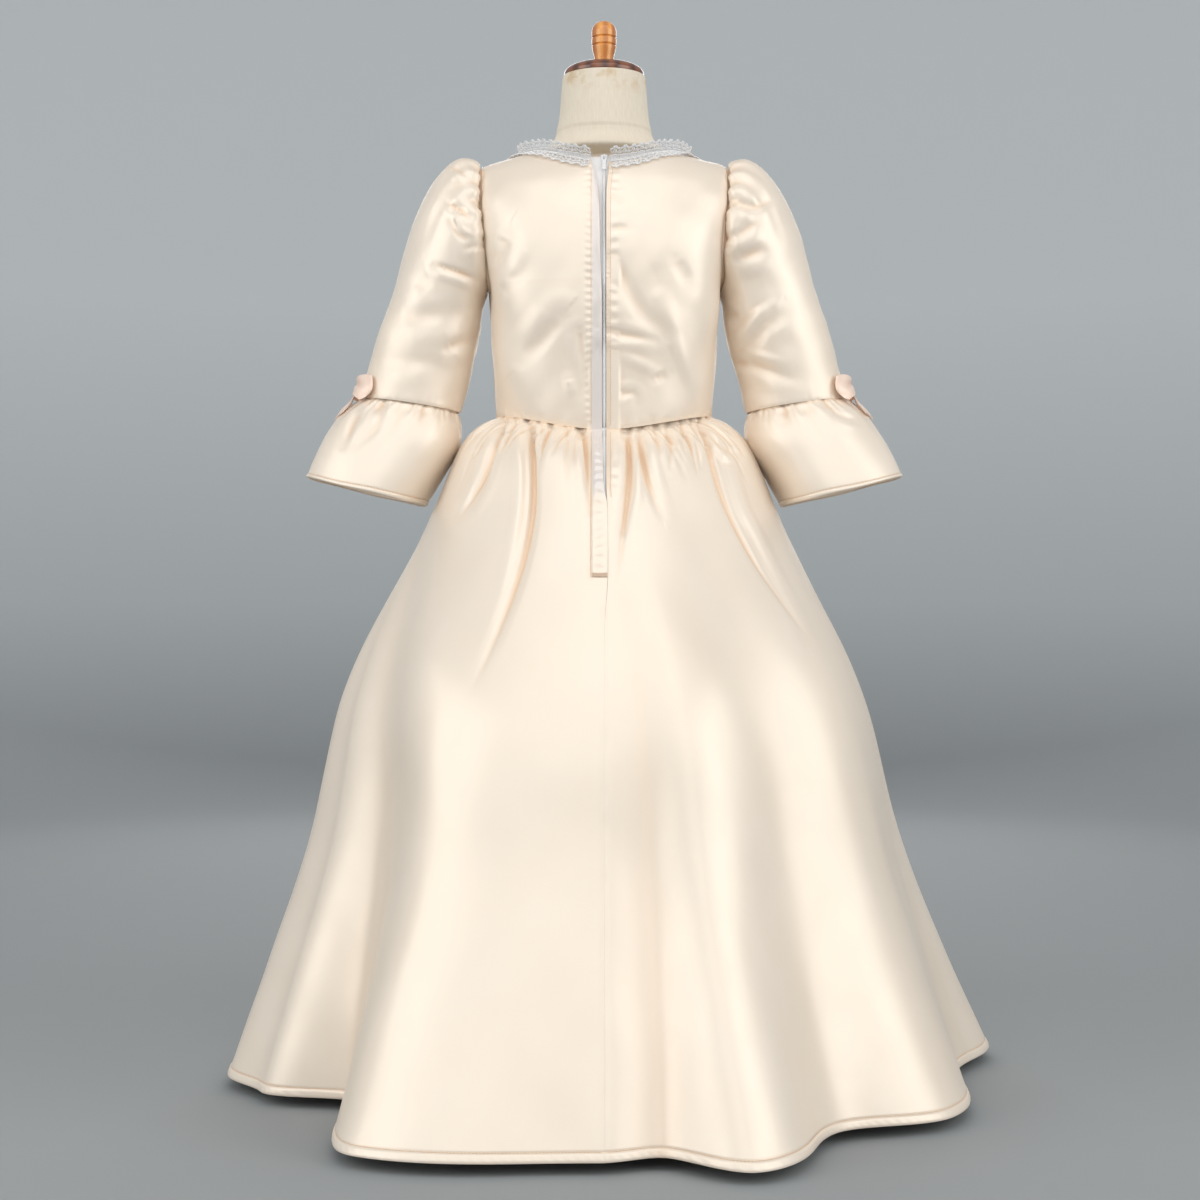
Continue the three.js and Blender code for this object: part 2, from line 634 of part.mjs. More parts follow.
// A point over the arm: sideways mm towards the back, below mm under the elbow seam and
// out mm off the cloth.
function overArm(sideways, below, out) {
  const place = ELBOW + (below < 0 ? below / ABOVE : below / BELOW);
  const row = rowAt(ARM, place);
  const around = BOW_AT.around + THREE.MathUtils.radToDeg(sideways / row.deep);
  const p = armPlain(around, place);
  return p.addScaledVector(normalOf(armPlain, around, place), out);
}

// A loop of ribbon, a flat ring that opens up and down. side is 1 towards the back.
function bowLoop(side) {
  const { long, thick, flat, tallIn, tallOut, wall, seat } = BOW_LOOP;
  const start = BOW_KNOT.wide / 2 + 2 * SEAM_GAP;
  const surface = (around, down) => {
    const a = 2 * Math.PI * around;
    const share = (1 - Math.cos(a)) / 2; // 0 at the knot, 1 at the loop's end
    const body = lerp(flat, 1, Math.sin(Math.PI * share ** 0.8));
    const sideways = side * (start + long * share);
    const out = seat + (thick / 2) * (1 + Math.sin(a) * body);
    const tall = lerp(tallIn, tallOut, share);
    return overArm(sideways, -BOW_AT.above + tall * (down - 0.5), out);
  };
  const rows = [0, 0.5, 1].map((down) => ({ down, across: steps(14) }));
  return shell({ surface, rows, closed: true, wall, turn: side });
}

// A tail of ribbon that widens to a slanted end. side is 1 towards the back.
function bowTail(side) {
  const { long, wideIn, wideOut, from, spread, slant, seat, flutter } = BOW_TAIL;
  const start = -BOW_AT.above + BOW_KNOT.tall / 2 + SEAM_GAP;
  const surface = (across, down) => {
    const off = across - 0.5;
    const sideways = side * (from + spread * down) + off * lerp(wideIn, wideOut, down);
    const below = start + long * down - side * off * slant * down;
    const lift = flutter * (1 + Math.sin(Math.PI * (0.2 + 1.3 * down)));
    return overArm(sideways, below, seat + lift);
  };
  const rows = steps(5).map((down) => ({ down, across: steps(2) }));
  return shell({ surface, rows, wall: BOW_LOOP.wall });
}

// The knot, a rounded block between the loops.
function bowKnot() {
  const geometry = new THREE.SphereGeometry(1, 12, 8);
  geometry.deleteAttribute("normal");
  geometry.deleteAttribute("uv");
  const merged = mergeVertices(geometry, 1e-4);
  const position = merged.getAttribute("position");
  const squared = (t, half) => Math.sign(t) * Math.abs(t) ** BOW_KNOT.square * half;
  for (let i = 0; i < position.count; i += 1) {
    const sideways = squared(position.getX(i), BOW_KNOT.wide / 2);
    const below = squared(position.getZ(i), BOW_KNOT.tall / 2) - BOW_AT.above;
    const out = squared(position.getY(i), BOW_KNOT.thick / 2) + BOW_KNOT.thick / 2;
    const p = overArm(sideways, below, out + BOW_SEAT);
    position.setXYZ(i, p.x, p.y, p.z);
  }
  return outward(merged);
}

// The same geometry with its faces turned to point out.
function outward(geometry) {
  const faces = Array.from(geometry.index.array);
  const points = geometry.getAttribute("position").array;
  if (signedVolume(points, faces) < 0)
    for (let i = 0; i < faces.length; i += 3)
      [faces[i + 1], faces[i + 2]] = [faces[i + 2], faces[i + 1]];
  return geometryOf(points, faces);
}

// ---- Neck lace ----
// The neckline from the zip's left side round the front to its right side, as points
// with the way along it, the bodice's normal and the way out over the cloth.
function neckline() {
  const leftStart = THREE.MathUtils.radToDeg(Math.asin(LACE_ENDS.left / SHOULDER.out));
  const rightEnd = THREE.MathUtils.radToDeg(Math.asin(LACE_ENDS.right / SHOULDER.out));
  const stretches = [
    { face: 1, from: leftStart, to: NECK_ANGLE },
    { face: -1, from: NECK_ANGLE, to: -NECK_ANGLE },
    { face: 1, from: -NECK_ANGLE, to: -rightEnd },
  ];
  const samples = [];
  for (const { face, from, to } of stretches)
    for (const t of steps(60).slice(samples.length ? 1 : 0)) {
      const angle = lerp(from, to, t);
      const up = bodiceTop(face, angle);
      const surface = (across, down) => bodicePoint(face, across, -down);
      const inside = Math.min(up, 0.985);
      const n = normalOf(surface, angle, -inside, -face);
      samples.push({ p: bodicePoint(face, angle, up), n });
    }
  return samples;
}
const NECK_PATH = neckline();
const NECK_LENGTHS = NECK_PATH.reduce(
  (sums, { p }, i) => [...sums, i ? sums[i - 1] + p.distanceTo(NECK_PATH[i - 1].p) : 0],
  [],
);
const NECK_LENGTH = NECK_LENGTHS[NECK_LENGTHS.length - 1];
const SCALLOPS = Math.round(NECK_LENGTH / LACE.pitch);

// The neckline at a share of its length, with the directions of its cloth there.
function neckAt(share) {
  const want = clamp01(share) * NECK_LENGTH;
  const i = Math.max(1, NECK_LENGTHS.findIndex((length) => length >= want));
  const t = (want - NECK_LENGTHS[i - 1]) / (NECK_LENGTHS[i] - NECK_LENGTHS[i - 1]);
  const [from, to] = [NECK_PATH[i - 1], NECK_PATH[i]];
  const p = from.p.clone().lerp(to.p, t);
  const n = from.n.clone().lerp(to.n, t).normalize();
  const reach = 6;
  const [back, ahead] = [Math.max(0, i - reach), Math.min(NECK_PATH.length - 1, i + reach)];
  const along = NECK_PATH[ahead].p.clone().sub(NECK_PATH[back].p).normalize();
  const over = n.clone().cross(along).normalize(); // away from the neck, over the cloth
  return { p, n, over };
}

// A leaf of lace: place(neck, out) gives the point at out mm from its foot.
function laceLeaf(tall, place, turn) {
  const surface = (across, down) => {
    const scallop = Math.abs(Math.cos(Math.PI * SCALLOPS * across));
    const out = (1 - down) * (tall - LACE.notch * scallop);
    const wave = LACE.wave * (1 - down) * Math.sin(Math.PI * SCALLOPS * across * 0.5);
    return place(neckAt(across), out, wave);
  };
  const across = steps(2 * SCALLOPS);
  const rows = [0, 1].map((down) => ({ down, across }));
  return shell({ surface, rows, wall: LACE.wall, turn });
}

function lacePieces() {
  const up = point(0, 0, 1);
  // Stands on the neckline's edge and leans out from the neck.
  const stand = ({ p, over }, out, wave) => {
    const outwards = point(over.x, over.y, 0).normalize();
    const foot = p.clone().addScaledVector(over, -STANDING.seat);
    return foot.addScaledVector(up, out).addScaledVector(outwards, out * STANDING.lean + wave);
  };
  // Falls from just under the edge, over the bodice and clear of it.
  const fall = ({ p, n, over }, out, wave) => {
    const clear = FALLING.seat + LACE.wall + Math.max(0, wave);
    return p.clone().addScaledVector(n, clear).addScaledVector(over, out + FALLING.foot);
  };
  return {
    neck_lace_standing: laceLeaf(STANDING.tall, stand, -1),
    neck_lace_falling: laceLeaf(FALLING.tall, fall, 1),
  };
}

// ---- Zip ----
// The tapes' rows are at the heights of the panels' own rows, so that they lie parallel.
function tapeHeights() {
  const top = bodiceTop(1, 0);
  const bodice = BODICE_ROWS.map((up) =>
    up < 0 ? lerp(UNDERARM, WAIST.back, -up) : lerp(UNDERARM, shoulderHeight(0), up * top),
  );
  const skirt = SKIRT_ROWS.gathered.map((down) => lerp(WAIST.back, HEM_HEIGHT, down));
  return [ZIP.top, ...bodice, ...skirt.filter((z) => z > ZIP.bottom && z < WAIST.back), ZIP.bottom];
}

function zipTape(side) {
  const wide = side > 0 ? ZIP.tape.left : ZIP.tape.right;
  const surface = (across, z) => backPoint(side * lerp(HALF_GAP, wide, across), z);
  const inset = (across, down) => {
    const n = normalOf(surface, across, -down, side);
    return surface(across, -down).addScaledVector(n, -WALL - ZIP.behind);
  };
  const rows = tapeHeights().map((z) => ({ down: -z, across: [0, 0.5, 1] }));
  return shell({ surface: inset, rows, wall: ZIP.thick, turn: -side });
}

// ---- Turned wood and metal ----
function turned(profile, segments) {
  const outline = profile.map(([r, z]) => new THREE.Vector2(r, z));
  const lathe = new THREE.LatheGeometry(outline, segments);
  lathe.deleteAttribute("normal");
  lathe.deleteAttribute("uv");
  lathe.rotateX(Math.PI / 2);
  const merged = mergeVertices(lathe, 1e-4);
  return outward(dropFlat(merged));
}

// Leaves out the triangles that closed up on the axis.
function dropFlat(geometry) {
  const index = geometry.index.array;
  const faces = [];
  for (let i = 0; i < index.length; i += 3) {
    const [a, b, c] = index.slice(i, i + 3);
    if (a !== b && b !== c && c !== a) faces.push(a, b, c);
  }
  return geometryOf(geometry.getAttribute("position").array, faces);
}

const neckTop = FORM_NECK[FORM_NECK.length - 1].z;
const capBottom = neckTop + SEAM_GAP;
const capTop = capBottom + CAP.height;
const knobBottom = capTop + SEAM_GAP;

function woodCap() {
  const dome = steps(4).map((t) => {
    const a = (Math.PI / 2) * (1 - t);
    const r = lerp(CAP.seat, CAP.radius, Math.sin(a));
    return [r, capBottom + CAP.foot + (CAP.height - CAP.foot) * Math.cos(a)];
  });
  return turned([[0, capBottom], [CAP.radius, capBottom], ...dome, [0, capTop]], 24);
}

function woodKnob() {
  const { height, radius, neck, swell, crown } = KNOB;
  const side = (share) => {
    const rounded = squareness(clamp01((share - crown) / (1 - crown)), 2);
    return lerp(neck, radius, ease(share / swell)) * rounded;
  };
  const profile = [0, 0.12, 0.3, 0.72, 0.84, 0.93, 0.98].map((t) => [side(t), t * height]);
  for (const z of GROOVE.at) {
    const r = side(z / height);
    profile.push([r, z - GROOVE.half], [r - GROOVE.deep, z], [r, z + GROOVE.half]);
  }
  profile.sort((a, b) => a[1] - b[1]);
  const closed = [[0, 0], ...profile, [0, height]];
  return turned(closed.map(([r, z]) => [r, knobBottom + z]), 18);
}

// The linen torso: rings of a squared ellipse up to the shoulders, then the neck.
function formTorso() {
  const shoulder = FORM_SHOULDER.map((row) => ({
    ...row,
    z: shoulderHeight(row.wide) - WALL - FORM_CLEAR,
  }));
  const rings = [...FORM, ...shoulder, ...FORM_NECK];
  const columns = 24;
  const points = [];
  const faces = [];
  const curved = (t, power) => Math.sign(t) * Math.abs(t) ** (2 / power);
  for (const { z, wide, deep, power } of rings)
    for (let k = 0; k < columns; k += 1) {
      const a = (2 * Math.PI * k) / columns;
      points.push(wide * curved(Math.cos(a), power), deep * curved(Math.sin(a), power), z);
    }
  const ring = (i) => Array.from({ length: columns + 1 }, (_, k) => i * columns + (k % columns));
  const places = { upper: steps(columns), lower: steps(columns) };
  for (let i = 1; i < rings.length; i += 1) stitch(faces, ring(i), ring(i - 1), places, false);
  const bottom = points.push(0, 0, rings[0].z) / 3 - 1;
  const top = points.push(0, 0, rings[rings.length - 1].z) / 3 - 1;
  for (let k = 0; k < columns; k += 1) {
    const next = (k + 1) % columns;
    faces.push(bottom, next, k);
    const last = (rings.length - 1) * columns;
    faces.push(top, last + k, last + next);
  }
  return outward(geometryOf(points, faces));
}

function standPole() {
  const low = BASE.height + SEAM_GAP;
  const high = FORM[0].z - SEAM_GAP;
  return turned([[0, low], [POLE_RADIUS, low], [POLE_RADIUS, high], [0, high]], 24);
}

function standBase() {
  const { radius, height, edge } = BASE;
  const rounded = steps(3).map((t) => {
    const a = (Math.PI / 2) * t;
    return [radius - edge + edge * Math.cos(a), height - edge + edge * Math.sin(a)];
  });
  return turned([[0, 0], [radius, 0], ...rounded, [0, height]], 32);
}

// ---- Zip slider and its pull, in a frame of their own: z up the tape, y out of it ----
const wasm = await Module();
wasm.setup();

function solidOf(geometry) {
  const bare = new THREE.BufferGeometry();
  bare.setAttribute("position", geometry.getAttribute("position"));
  bare.setIndex(geometry.index);
  const merged = mergeVertices(bare, 1e-4);
  const vertProperties = new Float32Array(merged.getAttribute("position").array);
  const triVerts = new Uint32Array(merged.index.array);
  return new wasm.Manifold(new wasm.Mesh({ numProp: 3, vertProperties, triVerts }));
}

function geometryOfSolid(solid) {
  const { vertProperties, triVerts } = solid.getMesh();
  return geometryOf(Array.from(vertProperties), Array.from(triVerts));
}

// A plate in the plane of the tape, y thick, from an outline in x and z.
function plate(outline, low, thick) {
  const shape = new THREE.Shape(outline.map(([x, z]) => new THREE.Vector2(x, z)));
  const geometry = new THREE.ExtrudeGeometry(shape, { depth: thick, bevelEnabled: false });
  geometry.deleteAttribute("normal");
  geometry.deleteAttribute("uv");
  geometry.rotateX(Math.PI / 2).translate(0, low + thick, 0);
  return mergeVertices(geometry, 1e-4);
}

const BRIDGE_HOLE = BRIDGE.high - BRIDGE.thick; // how far the hole reaches off the slider
function slider() {
  const { wide, tall, thick } = SLIDER;
  const [w, h] = [wide / 2, tall / 2];
  const shield = [
    [-w, h * 0.6],
    [-w * 0.6, h],
    [w * 0.6, h],
    [w, h * 0.6],
    [w * 0.7, -h],
    [-w * 0.7, -h],
  ];
  const body = solidOf(plate(shield, SEAM_GAP, thick));
  const face = SEAM_GAP + thick;
  const arch = new THREE.BoxGeometry(BRIDGE.wide, BRIDGE.high + BRIDGE.sunk, BRIDGE.tall);
  arch.translate(0, face + (BRIDGE.high - BRIDGE.sunk) / 2, 0);
  const holeTall = BRIDGE.tall - 2 * BRIDGE.thick;
  const hole = new THREE.BoxGeometry(2 * BRIDGE.wide, BRIDGE_HOLE, holeTall);
  hole.translate(0, face + BRIDGE_HOLE / 2, 0);
  const bridge = solidOf(arch).subtract(solidOf(hole));
  return geometryOfSolid(body.add(bridge));
}

// The pull hangs from the bridge by the bar across the top of its eye, which lies in the
// middle of the bridge's hole and turns there.
function pull() {
  const { wide, long, thick, bar, eyeWide, eyeTall } = PULL;
  const low = SEAM_GAP + SLIDER.thick + (BRIDGE_HOLE - thick) / 2;
  const top = bar / 2;
  const w = wide / 2;
  const outline = [
    [-w * 0.8, top],
    [w * 0.8, top],
    [w, top - 1.5],
    [w * 0.75, top - long * 0.55],
    [w, top - long + 2],
    [w * 0.6, top - long],
    [-w * 0.6, top - long],
    [-w, top - long + 2],
    [-w * 0.75, top - long * 0.55],
    [-w, top - 1.5],
  ];
  const eye = new THREE.BoxGeometry(eyeWide, 4 * thick, eyeTall);
  eye.translate(0, low, top - bar - eyeTall / 2);
  return geometryOfSolid(solidOf(plate(outline, low, thick)).subtract(solidOf(eye)));
}

// The frame of the slider: on the tapes' outer face, with y along its normal.
function zipHead() {
  const seat = backPoint(0, SLIDER.at);
  const below = backPoint(0, SLIDER.at - 2);
  const lean = Math.atan2(below.y - seat.y, seat.z - below.z);
  const head = new THREE.Group();
  const inset = WALL + ZIP.behind;
  head.position.set(0, seat.y - inset * Math.cos(lean), seat.z - inset * Math.sin(lean));
  head.rotation.x = lean;
  return head;
}

// ---- Materials ----
const material = (color, roughness, metalness = 0) =>
  new THREE.MeshStandardMaterial({ color, roughness, metalness });
const satin = () => material(0xf4e6d2, 0.35);
const ribbon = () => material(0xf3d9bd, 0.4);
const lace = () => material(0xf2eee8, 0.85);
const tape = () => material(0xf1ece4, 0.7);
const linen = () => material(0xdccfb8, 0.9);
const wood = () => material(0x8a4a22, 0.35);
const iron = () => material(0x2b2a2a, 0.5, 0.6);
const nickel = () => material(0xdad6ce, 0.3, 1);

// ---- Assembly ----
const gown = new THREE.Group();

function place(name, geometry, finish, parent = gown) {
  geometry.computeVertexNormals();
  const mesh = new THREE.Mesh(geometry, finish);
  mesh.name = name;
  parent.add(mesh);
  return mesh;
}

for (const [name, geometry] of Object.entries(bodicePieces())) place(name, geometry, satin());
for (const [name, geometry] of Object.entries(skirtPieces())) place(name, geometry, satin());
for (const [name, geometry] of Object.entries(lacePieces())) place(name, geometry, lace());

const armPieces = {
  sleeve: { geometry: sleeve(), finish: satin },
  flounce: { geometry: flounce(), finish: satin },
  bow_loop_back: { geometry: bowLoop(1), finish: ribbon },
  bow_loop_front: { geometry: bowLoop(-1), finish: ribbon },
  bow_knot: { geometry: bowKnot(), finish: ribbon },
  bow_tail_back: { geometry: bowTail(1), finish: ribbon },
  bow_tail_front: { geometry: bowTail(-1), finish: ribbon },
};
for (const [name, { geometry, finish }] of Object.entries(armPieces)) {
  place(name + "_left", geometry, finish());
  place(name + "_right", mirrored(geometry), finish());
}

place("zip_tape_left", zipTape(1), tape());
place("zip_tape_right", zipTape(-1), tape());
const head = zipHead();
gown.add(head);
place("zip_slider", slider(), nickel(), head);
place("zip_pull", pull(), nickel(), head);

place("form_torso", formTorso(), linen());
place("form_cap", woodCap(), wood());
place("form_knob", woodKnob(), wood());
place("stand_pole", standPole(), iron());
place("stand_base", standBase(), iron());

export default gown;
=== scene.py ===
from math import atan2, ceil, cos, pi, radians, sin

import bpy
import numpy as np
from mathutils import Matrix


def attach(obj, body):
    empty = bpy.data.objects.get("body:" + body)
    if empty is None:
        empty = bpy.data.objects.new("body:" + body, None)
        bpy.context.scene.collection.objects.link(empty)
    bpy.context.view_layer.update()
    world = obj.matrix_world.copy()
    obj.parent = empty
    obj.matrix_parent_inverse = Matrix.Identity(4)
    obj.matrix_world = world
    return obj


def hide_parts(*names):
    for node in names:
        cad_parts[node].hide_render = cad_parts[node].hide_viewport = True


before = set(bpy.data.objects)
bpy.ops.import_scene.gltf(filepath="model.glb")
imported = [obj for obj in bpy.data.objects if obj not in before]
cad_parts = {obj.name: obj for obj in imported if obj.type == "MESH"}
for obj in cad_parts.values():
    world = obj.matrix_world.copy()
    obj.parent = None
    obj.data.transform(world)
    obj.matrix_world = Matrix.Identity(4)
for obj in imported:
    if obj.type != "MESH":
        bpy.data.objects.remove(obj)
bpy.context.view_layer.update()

MM = 0.001
GOWN = "gown_and_form"  # the body that everything but the zip's pull rides on


def table(keys, *rows):
    return [dict(zip(keys.split(), row)) for row in rows]


# ---- Cloth ----
WALL = 1.2
HALF_GAP = 0.15
SEWN_GAP = 0.05  # half the gap at a finished seam down the skirt's side
COARSE = 3  # the lining side of a wall has one cell for three of the outer side's

# ---- Skirt ----
HEM_HEIGHT = 12
WAIST = {"wide": 113, "deep": 88, "back": 667, "front": 672, "side": 686}
HEM_REACH = 388
WAIST_PUFF = 0.11
PUFF_DROP = {"free": 0.02, "zipped": 0.05, "zip_width": 12}
BELL = {"size": 0.1, "at": 0.42, "width": 0.18}
FOLD_GROWTH = 1.2
FOLD_SETTLED = 0.6
FOLDS = table("at reach drift",
    (10, 388, -30), (22, 366, -40), (36, 300, -50), (60, 432, -46), (89, 394, 0), (97, 380, -6),
    (107, 442, -6), (127, 361, 0), (144, 403, 18), (172, 366, 12), (192, 424, 6), (214, 345, 8),
    (232, 398, -8), (251, 340, 0), (270, 395, 4), (289, 338, -6), (309, 400, 6), (331, 345, -8))
BACK_GATHERS = table("at by to reach deep wide",
    (6, 10, 12, 0.1, 3, 9), (16, 50, 34, 0.165, 5, 10), (27, 42, 44, 0.06, 3, 8),
    (37, 76, 60, 0.437, 7, 13), (45, 58, 60, 0.05, 2.5, 8), (54, 62, 63, 0.09, 4, 8),
    (64, 71, 73, 0.05, 2.5, 8), (74, 83, 83, 0.12, 4.5, 9), (107, 101, 93.5, 0.25, 5, 11),
    (114, 103, 109, 0.15, 5, 13), (124, 117, 115, 0.05, 2.5, 8), (133, 124, 121, 0.045, 3, 8),
    (142, 131, 128, 0.09, 4, 8), (150, 140, 137, 0.05, 3, 8), (158, 123, 149, 0.374, 5, 12),
    (167, 158, 160, 0.07, 5, 8), (175, 171, 172, 0.08, 3, 8))
FRONT_GATHERS = {"count": 17, "uneven": 0.25, "bow": 20, "end": 12, "every": 4, "first": 2}
FRONT_LONG = {"reach": 0.34, "vary": 0.06, "deep": 6, "wide": 13}
FRONT_SHORT = {"reach": 0.09, "vary": 0.04, "deep": 3.8, "wide": 8.5}
GATHER_START = {"depth": 0.35, "by": 0.02}
# Between the large gathers, all round the waist. wide is mm, and reach a share of the drop.
FINE_GATHERS = {"count": 60, "uneven": 0.35, "bow": 2.5, "lean": 4, "deep": 3.0, "mixed": 0.45,
                "wide": 5.5, "mixed_wide": 0.25, "reach": 0.075, "vary": 0.045}
# The sharp valley along the bottom of a large gather, in shares of the gather's own.
CRISP = {"deep": 0.85, "wide": 0.42}

# ---- Bodice ----
UNDERARM = 817.5
CHEST = {"wide": 121, "deep": 97, "power": 3.2}
WAIST_POWER = 2
SHOULDER = {"out": 127, "height": 949, "slope": 0.27, "crown": 30}
ARMHOLE_DEEP = 50
YOKE_POWER = 2.4
NECK_ANGLE = 45
NECKLINE = {"back": 943, "front": 880, "back_round": 1, "front_round": 1.6}

# ---- Zip ----
ZIP = {"bottom": 590, "top": 948, "thick": 1, "behind": 1.3}
TAPE = {"left": 14, "right": 11}
# The back panels' edges, over the zip and the placket below it: x at each height.
LAPS = table("z left right",
    (948, 12.6, -5), (932, 10.2, -4.6), (908, 5.6, -2.3), (846, 4.2, -2.1), (804, 2.5, -2.1),
    (668, 2, -2.2), (640, 1.2, -2), (606, 0.6, -2), (590, -2.6, -2.9), (515, -3, -3.3),
    (470, 0.04, -0.04), (0, 0.04, -0.04))
LAP_STITCH = 13.2  # the left panels are stitched down to the tape here
SLIDER = {"wide": 8, "tall": 9, "thick": 2.4, "at": 945.5}
BRIDGE = {"wide": 1.6, "tall": 5.6, "high": 3, "thick": 1.2}
PULL = {"wide": 4.6, "long": 20, "thick": 1, "bar": 1.1, "eye_wide": 2.4, "eye_tall": 4.2}
SLIDER_SEAT = 0.3
# The finished tapes lie this much nearer to the cloth than the solids' do, and the cloth
# over them is never pressed in past "least".
TAPE_RAISED = 0.5
OVER_ZIP = {"least": -0.7, "side": 14, "fade": 8, "free": 6}

# ---- Sleeves ----
SLEEVE = table("x_out z_out x_in z_in deep",
    (127.3, 949, 121.3, 817.5, 50), (134, 957, 123, 812, 58), (150, 958, 125, 806, 62),
    (168, 946, 126.5, 799, 62), (184, 925, 127.5, 790, 60), (199, 890, 129, 778, 57),
    (212, 850, 131.5, 765, 54), (225, 806, 135.5, 748, 52), (238, 765, 141, 728, 50),
    (256, 706, 150.5, 691, 48))
FLOUNCE = table("x_out z_out x_in z_in deep",
    (256, 705.4, 150.5, 690.6, 48), (275, 690, 147.5, 675, 58), (292, 668, 150, 652, 66),
    (304, 645, 166, 622, 72), (313, 624, 184, 592, 76))
# Pleats: wide and side are degrees round the arm, and reach and full are rings of the table.
# start is the share of the depth right at the seam, and mixed the unevenness of the depth.
CAP_GATHERS = {"count": 8, "side": 78, "uneven": 0.2, "deep": 4, "mixed": 0, "wide": 10,
               "reach": 4.6, "vary": 1.4, "start": 0.4, "full": 1.2}
FLOUNCE_GATHERS = {"count": 12, "uneven": 0.25, "deep": 3.4, "mixed": 0, "wide": 13,
                   "reach": 2.2, "vary": 0.9, "start": 0.3, "full": 0.6}
FINE_CAP = {"count": 30, "side": 112, "uneven": 0.35, "deep": 1.7, "mixed": 0.5, "wide": 3.8,
            "reach": 1.7, "vary": 0.9, "start": 0.5, "full": 0.5}
FINE_FLOUNCE = {"count": 38, "uneven": 0.35, "deep": 1.8, "mixed": 0.5, "wide": 4.6,
                "reach": 1.2, "vary": 0.7, "start": 0.5, "full": 0.25}
# The elbow seam's dents in the sleeve above it, with their reach in mm.
ELBOW_DENTS = {"count": 26, "uneven": 0.4, "deep": 0.5, "mixed": 0, "wide": 5,
               "reach": 14, "vary": 7, "start": 1, "full": 1}
SLEEVE_RING = 55  # about how far the sleeve's last rings are apart
FLOUNCE_WAVE = {"count": 4, "deep": 2.5, "turn": 40}

# ---- Bows ----
BOW_SEAT = 0.5
BOW_AT = {"around": 6, "above": 12}
BOW_LOOP = {"long": 27, "thick": 8, "flat": 0.45, "tall_in": 12, "tall_out": 28, "seat": 2}
BOW_KNOT = {"wide": 11, "tall": 13, "thick": 8, "square": 0.7}
BOW_TAIL = {"long": 34, "wide_in": 5, "wide_out": 11, "from": 3, "spread": 9, "slant": 7,
            "seat": 2, "flutter": 2.4}
BOW_SOFT = {"round": 0.2, "droop": 3.5, "tip": 1.2, "longer": 1.1, "taller": 1.2, "fuller": 1.25,
            "tail": 1.2}
RIBBON = 0.7  # the ribbon's thickness

# ---- Lace ----
LACE = {"pitch": 10, "notch": 3.2, "wave": 1.1, "thread": 0.34, "cord": 0.62}
STANDING = {"tall": 12.5, "lean": 0.35, "seat": 1.3}
FALLING = {"tall": 14, "foot": 1, "seat": 1.1}
LACE_ENDS = {"left": 13.5, "right": 5.5}

# ---- Dress form and stand ----
FORM = table("z wide deep power",
    (560, 104, 76, 2.2), (600, 106, 78, 2.2), (668, 100, 76, 2.2), (760, 106, 83, 2.4),
    (830, 112, 86, 2.6), (880, 115, 78, 2.6), (915, 117, 66, 2.4), (937, 118, 54, 2.2))
FORM_SHOULDER = table("wide deep power",
    (117, 40, 1.5), (104, 38, 1.6), (91, 33, 1.55))
FORM_NECK = table("z wide deep power",
    (965, 66, 50, 2), (980, 52, 47, 2), (1000, 47, 46, 2), (1043, 43.5, 43.5, 2))
FORM_CLEAR = 1.7
CAP = {"radius": 42, "foot": 3, "height": 15, "seat": 8}
KNOB = {"height": 44, "radius": 13, "neck": 9.5, "swell": 0.45, "crown": 0.72}
GROOVE = {"deep": 1.6, "half": 1.2, "at": [18, 26]}
POLE_RADIUS = 11
BASE = {"radius": 150, "height": 12, "edge": 5}
SEAM_GAP = 0.3

# ---- The view that the creases were read in: square on to the back ----
VIEW = {"distance": 2152, "height": 495, "aside": 4.2, "lens": 61.5}

# Creases on the plane through the gown's middle, as seen from behind: (across to the
# wearer's left, height). deep and wide are the valley's depth and half width, and right and
# left are the heights of the rolls beside it, on the wearer's right and left of a path
# that runs down. A negative depth is a roll by itself.
SKIRT_CREASES = table("deep wide right left path",
    (1.6, 6, 0.8, 0.6, [(85, 674), (82, 624), (87, 571), (101, 511)]),
    (1.8, 7, 0.6, 0.9, [(110, 670), (120, 647), (126, 625), (133, 608), (147, 588), (165, 577)]),
    (1.2, 5, 0.3, 0.3, [(124, 662), (142, 643)]),
    (2.4, 6, 0.6, 1, [(27, 677), (19, 662), (15, 630), (15, 587)]),
    (2.2, 6, 1, 0.4, [(-23, 675), (-28, 619), (-19, 567)]),
    (1.8, 7, 1, 0, [(-38, 666), (-42, 639), (-51, 608), (-60, 583)]),
    (1.4, 5, 0.5, 0.3, [(-69, 665), (-70, 635)]),
    (1.2, 5, 0.5, 0.3, [(-80, 666), (-88, 647)]),
    (1.2, 3.5, 0.5, 0.3, [(-97, 662), (-101, 635)]),
    (1.6, 7, 1.2, 0, [(-104, 680), (-110, 659), (-124, 639), (-131, 614), (-140, 586), (-153, 561),
        (-173, 521), (-189, 491), (-210, 450)]),
    (2, 5, 0.5, 1.4, [(-116, 666), (-129, 654), (-144, 647)]))
